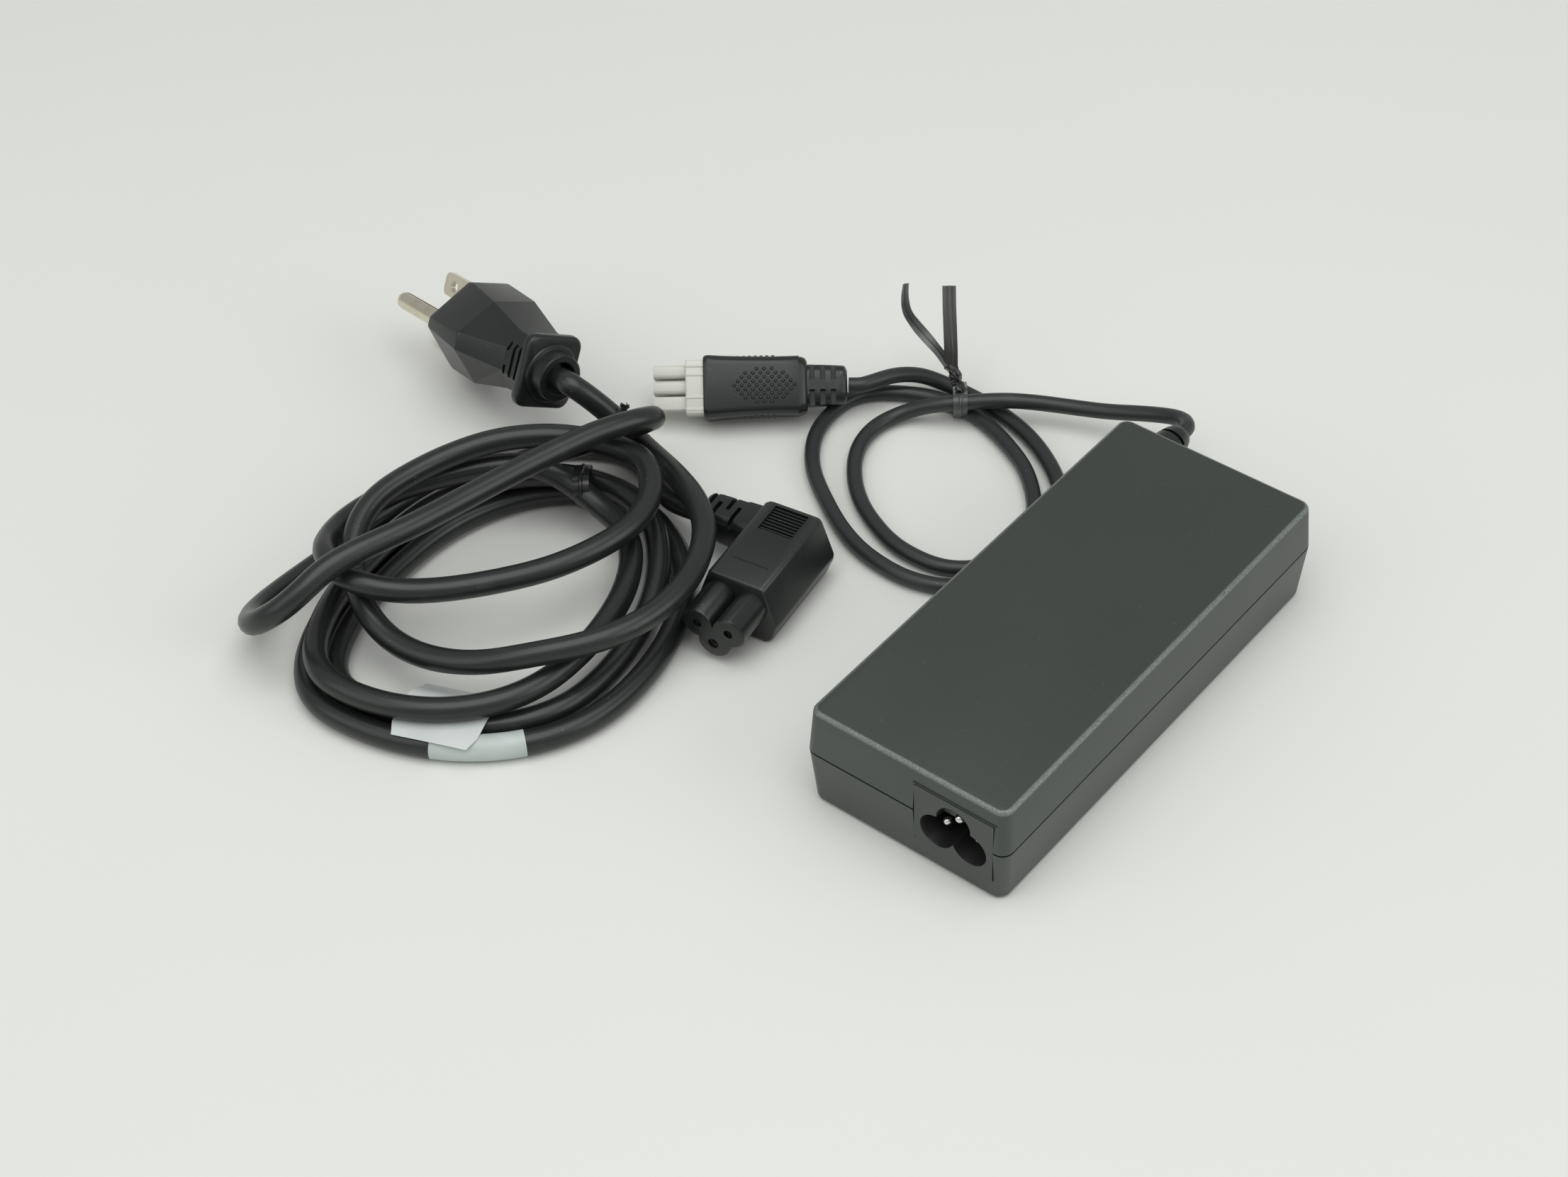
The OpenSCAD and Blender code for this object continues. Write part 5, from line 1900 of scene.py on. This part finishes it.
@dataclass
class MainsPlug(Assembly):
    """The angular mains plug with its flange, blades and earth pin."""

    body: Body = Body.LEAD
    place: Matrix = field(
        default_factory=lambda: turned((-4.6, 160.1, 23.4), ("Z", 78.6), ("Y", 10.4), ("X", 29.5))
    )
    flange: Pair = (17.4, 19.8)
    front: float = 41.5
    sections: Sequence[PlugSection] = (
        PlugSection(2.6, (7.1, 4.4), (4.4, 7.6), (-7.1, 7.6), 0.6),
        PlugSection(10.3, (7.8, 3.0), (4.6, 8.0), (-7.7, 8.2), 0.5),
        PlugSection(23.7, (14.0, 2.3), (4.7, 11.3), (-9.0, 12.2), 0.5),
        PlugSection(24.3, (14.0, 2.2), (4.6, 11.4), (-9.2, 12.3), 0.5),
        PlugSection(38.6, (12.0, 1.5), (1.6, 12.2), (-10.9, 12.7), 1.0),
        PlugSection(40.6, (11.5, 1.3), (1.4, 11.7), (-10.5, 12.2), 1.2),
        PlugSection(41.5, (10.2, 1.0), (1.0, 10.6), (-9.5, 11.1), 1.2),
    )

    def shell(self) -> None:
        """Makes the body from the neck to the front, with the slots at the neck."""
        bm = loft([along_x(section.outline(), section.x) for section in self.sections])
        bm.normal_update()
        quads = [f for f in bm.faces if len(f.verts) == 4]
        lid = [f for f in quads if abs(f.calc_center_median().z) > 9 and f.calc_area() > 20]
        rest = [f for f in quads if f not in lid]
        bmesh.ops.triangulate(bm, faces=lid, quad_method="LONG_EDGE")
        bmesh.ops.triangulate(bm, faces=rest, quad_method="SHORT_EDGE")
        cutter = blocks(
            ((4.3, 6.3, -4.1), (5.3, 11.5, 4.8)), ((6.6, 6.3, -4.1), (7.6, 11.5, 4.9)),
            ((9.0, 6.5, 2.6), (10.0, 11.5, 5.0)), ((9.0, 6.5, -3.9), (10.0, 11.5, -1.4)),
        )
        # Painted sheen: the whole shell a little lighter, the front end more.
        self.piece(
            "mains_plug_shell", carve(bm, cutter), MOULD, stands_for="mains_plug_body", crease=14,
            rub=lambda at: 0.18 if at.x > 39 else 0.05,
        )

    def plate(self) -> None:
        """Makes the flange."""
        wide, tall = self.flange
        plate = barrel([
            (x, wide * s, tall * s, 3.0 * s) for x, s in (
                (0.0, 0.92), (0.2, 0.96), (0.6, 0.99), (1.1, 1.0), (2.4, 1.0), (2.9, 0.98),
                (3.1, 0.95),
            )
        ], 6)
        self.piece("plug_flange", outward(plate), MOULD)

    def collar(self) -> None:
        """Makes the round boss that the cord leaves."""
        boss = lathe([
            (-1.6, 0), (-1.6, 4.1), (-4.6, 4.3), (-4.9, 4.6), (-4.9, 6.0), (-4.6, 6.4), (-1.1, 6.7),
            (-0.9, 7.6), (-0.6, 7.9), (0.6, 8.0), (0.6, 0),
        ], 56)
        self.piece("plug_boss", outward(boss), MOULD, stands_for="mains_plug_boss")

    def prongs(self) -> None:
        """Makes the rolled earth pin and the two holed blades."""
        pin = lathe([
            (-0.5, 0), (-0.5, 2.4), (17.6, 2.4), (18.6, 2.25), (19.4, 1.8), (19.85, 1.1), (20.0, 0),
        ], 40)
        pin = carve(pin, blocks(((-1, -0.3, 1.6), (18.4, 0.3, 3.0))))
        stand = self.place @ turned((self.front, 6.5, 0))
        self.piece("rolled_earth_pin", pin, PALE_BRASS, stand, "earth_pin")
        for name, side in (("blade_line", 1), ("blade_neutral", -1)):
            bm = bmesh.new()
            tip = filleted(
                [(17.5, 3.17, 1.6), (-8, 3.17, 0.1), (-8, -3.17, 0.1), (17.5, -3.17, 1.6)]
            )
            outer = ring(bm, [(x, -0.75, z) for x, z in tip])
            hole = ring(bm, [
                (13.0 + 1.5 * math.cos(math.tau * k / 24), -0.75, 1.5 * math.sin(math.tau * k / 24))
                for k in range(24)
            ])
            filled = bmesh.ops.triangle_fill(
                bm, use_beauty=True, use_dissolve=False, edges=outer + hole
            )["geom"]
            faces = [g for g in filled if isinstance(g, bmesh.types.BMFace)]
            raised = bmesh.ops.extrude_face_region(bm, geom=faces, use_keep_orig=True)["geom"]
            lifted = [g for g in raised if isinstance(g, bmesh.types.BMVert)]
            bmesh.ops.translate(bm, vec=(0, 1.5, 0), verts=lifted)
            soften(outward(bm), 0.12, 1, 60)
            stand = self.place @ turned((self.front, -5.4, side * 6.35))
            self.piece("flat_" + name, bm, PALE_BRASS, stand, name)

    def build(self) -> None:
        """Makes the plug."""
        self.prongs()
        self.plate()
        self.shell()
        self.collar()


# --- labels


@dataclass
class Labels(Assembly):
    """The bare flag label and the bare wrap round the outermost strand."""

    body: Body = Body.LEAD
    cord: Sequence[Vector] = ()
    sleeve: float = 3.28
    sleeve_at: Point = (-101.8, 97.5, 3.2)
    reach: int = 7

    def flag(self) -> None:
        """Makes the flag that lies over two strands and comes down inside them."""
        stand = turned((-106, 96, 0), ("Z", 21.5))
        rise = [
            (0.0, 6.55), (4, 6.6), (8, 6.62), (12, 6.6), (14.5, 6.3), (17, 4.9), (19.5, 2.9),
            (21.8, 1.1), (23.6, 0.3),
        ]
        sections = []
        for along, z in rise:
            trim = max(0.0, 1.4 - along)
            sections.append([
                (along, y, z + h) for y, h in (
                    (trim, 0), (7.2, 0.06), (14.4, 0.06), (21.8 - trim, 0),
                    (21.8 - trim, 0.13), (14.4, 0.19), (7.2, 0.19), (trim, 0.13),
                )
            ])
        self.piece("flag_label_sheet", outward(loft(sections)), LABEL, stand, "flag_label")

    def wrap(self) -> None:
        """Makes the sleeve of label round the outermost strand."""
        cord = self.cord
        target = Vector(self.sleeve_at)
        nearest = min(range(len(cord)), key=lambda i: (cord[i] - target).length)
        stretch = cord[nearest - self.reach:nearest + self.reach + 1]
        sections = []
        for i, at in enumerate(stretch):
            ahead = (stretch[min(i + 1, len(stretch) - 1)] - stretch[max(i - 1, 0)]).normalized()
            side = ahead.cross(Vector((0, 0, 1))).normalized()
            up = side.cross(ahead)
            sections.append([
                at + side * (self.sleeve * math.cos(a)) + up * (self.sleeve * math.sin(a))
                for a in (math.tau * k / 28 for k in range(28))
            ])
        bm = loft(sections, False)
        bmesh.ops.recalc_face_normals(bm, faces=bm.faces)
        for vert in bm.verts:
            vert.co.z = max(vert.co.z, 0.02)
        self.piece("wrap_label", bm, DULL_LABEL)

    def build(self) -> None:
        """Makes both labels."""
        self.flag()
        self.wrap()


# --- everything


def dress_inside(work: Workshop, nodes: dict[str, Thing]) -> None:
    """Gives the nodes that stay their own finishes.

    Args:
        work: the workshop.
        nodes: the frame's nodes by name.
    """
    for finish, names in INNER:
        for name in names.split():
            nodes[name].data.materials.clear()
            nodes[name].data.materials.append(work.shop.coat(finish))
            LOG.info("%s in %s", name, finish.name)


def main() -> None:
    """Builds the scene."""
    logging.basicConfig(level=logging.INFO, format="%(message)s")
    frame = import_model()
    Studio().build()
    work = Workshop()
    connector, plug = ApplianceConnector(work), MainsPlug(work)
    thin, mains = ThinCord(work), MainsCord(work)
    thin_cord = thin.build()
    mains_cord = mains.build(connector.place, plug.place)
    for assembly in (
        Brick(work), ThinPlug(work), connector, plug, ThinTie(work), MainsTie(work),
        Labels(work, cord=mains.route),
    ):
        assembly.build()
    dress_inside(work, frame["nodes"])


if __name__ == "__main__":
    main()
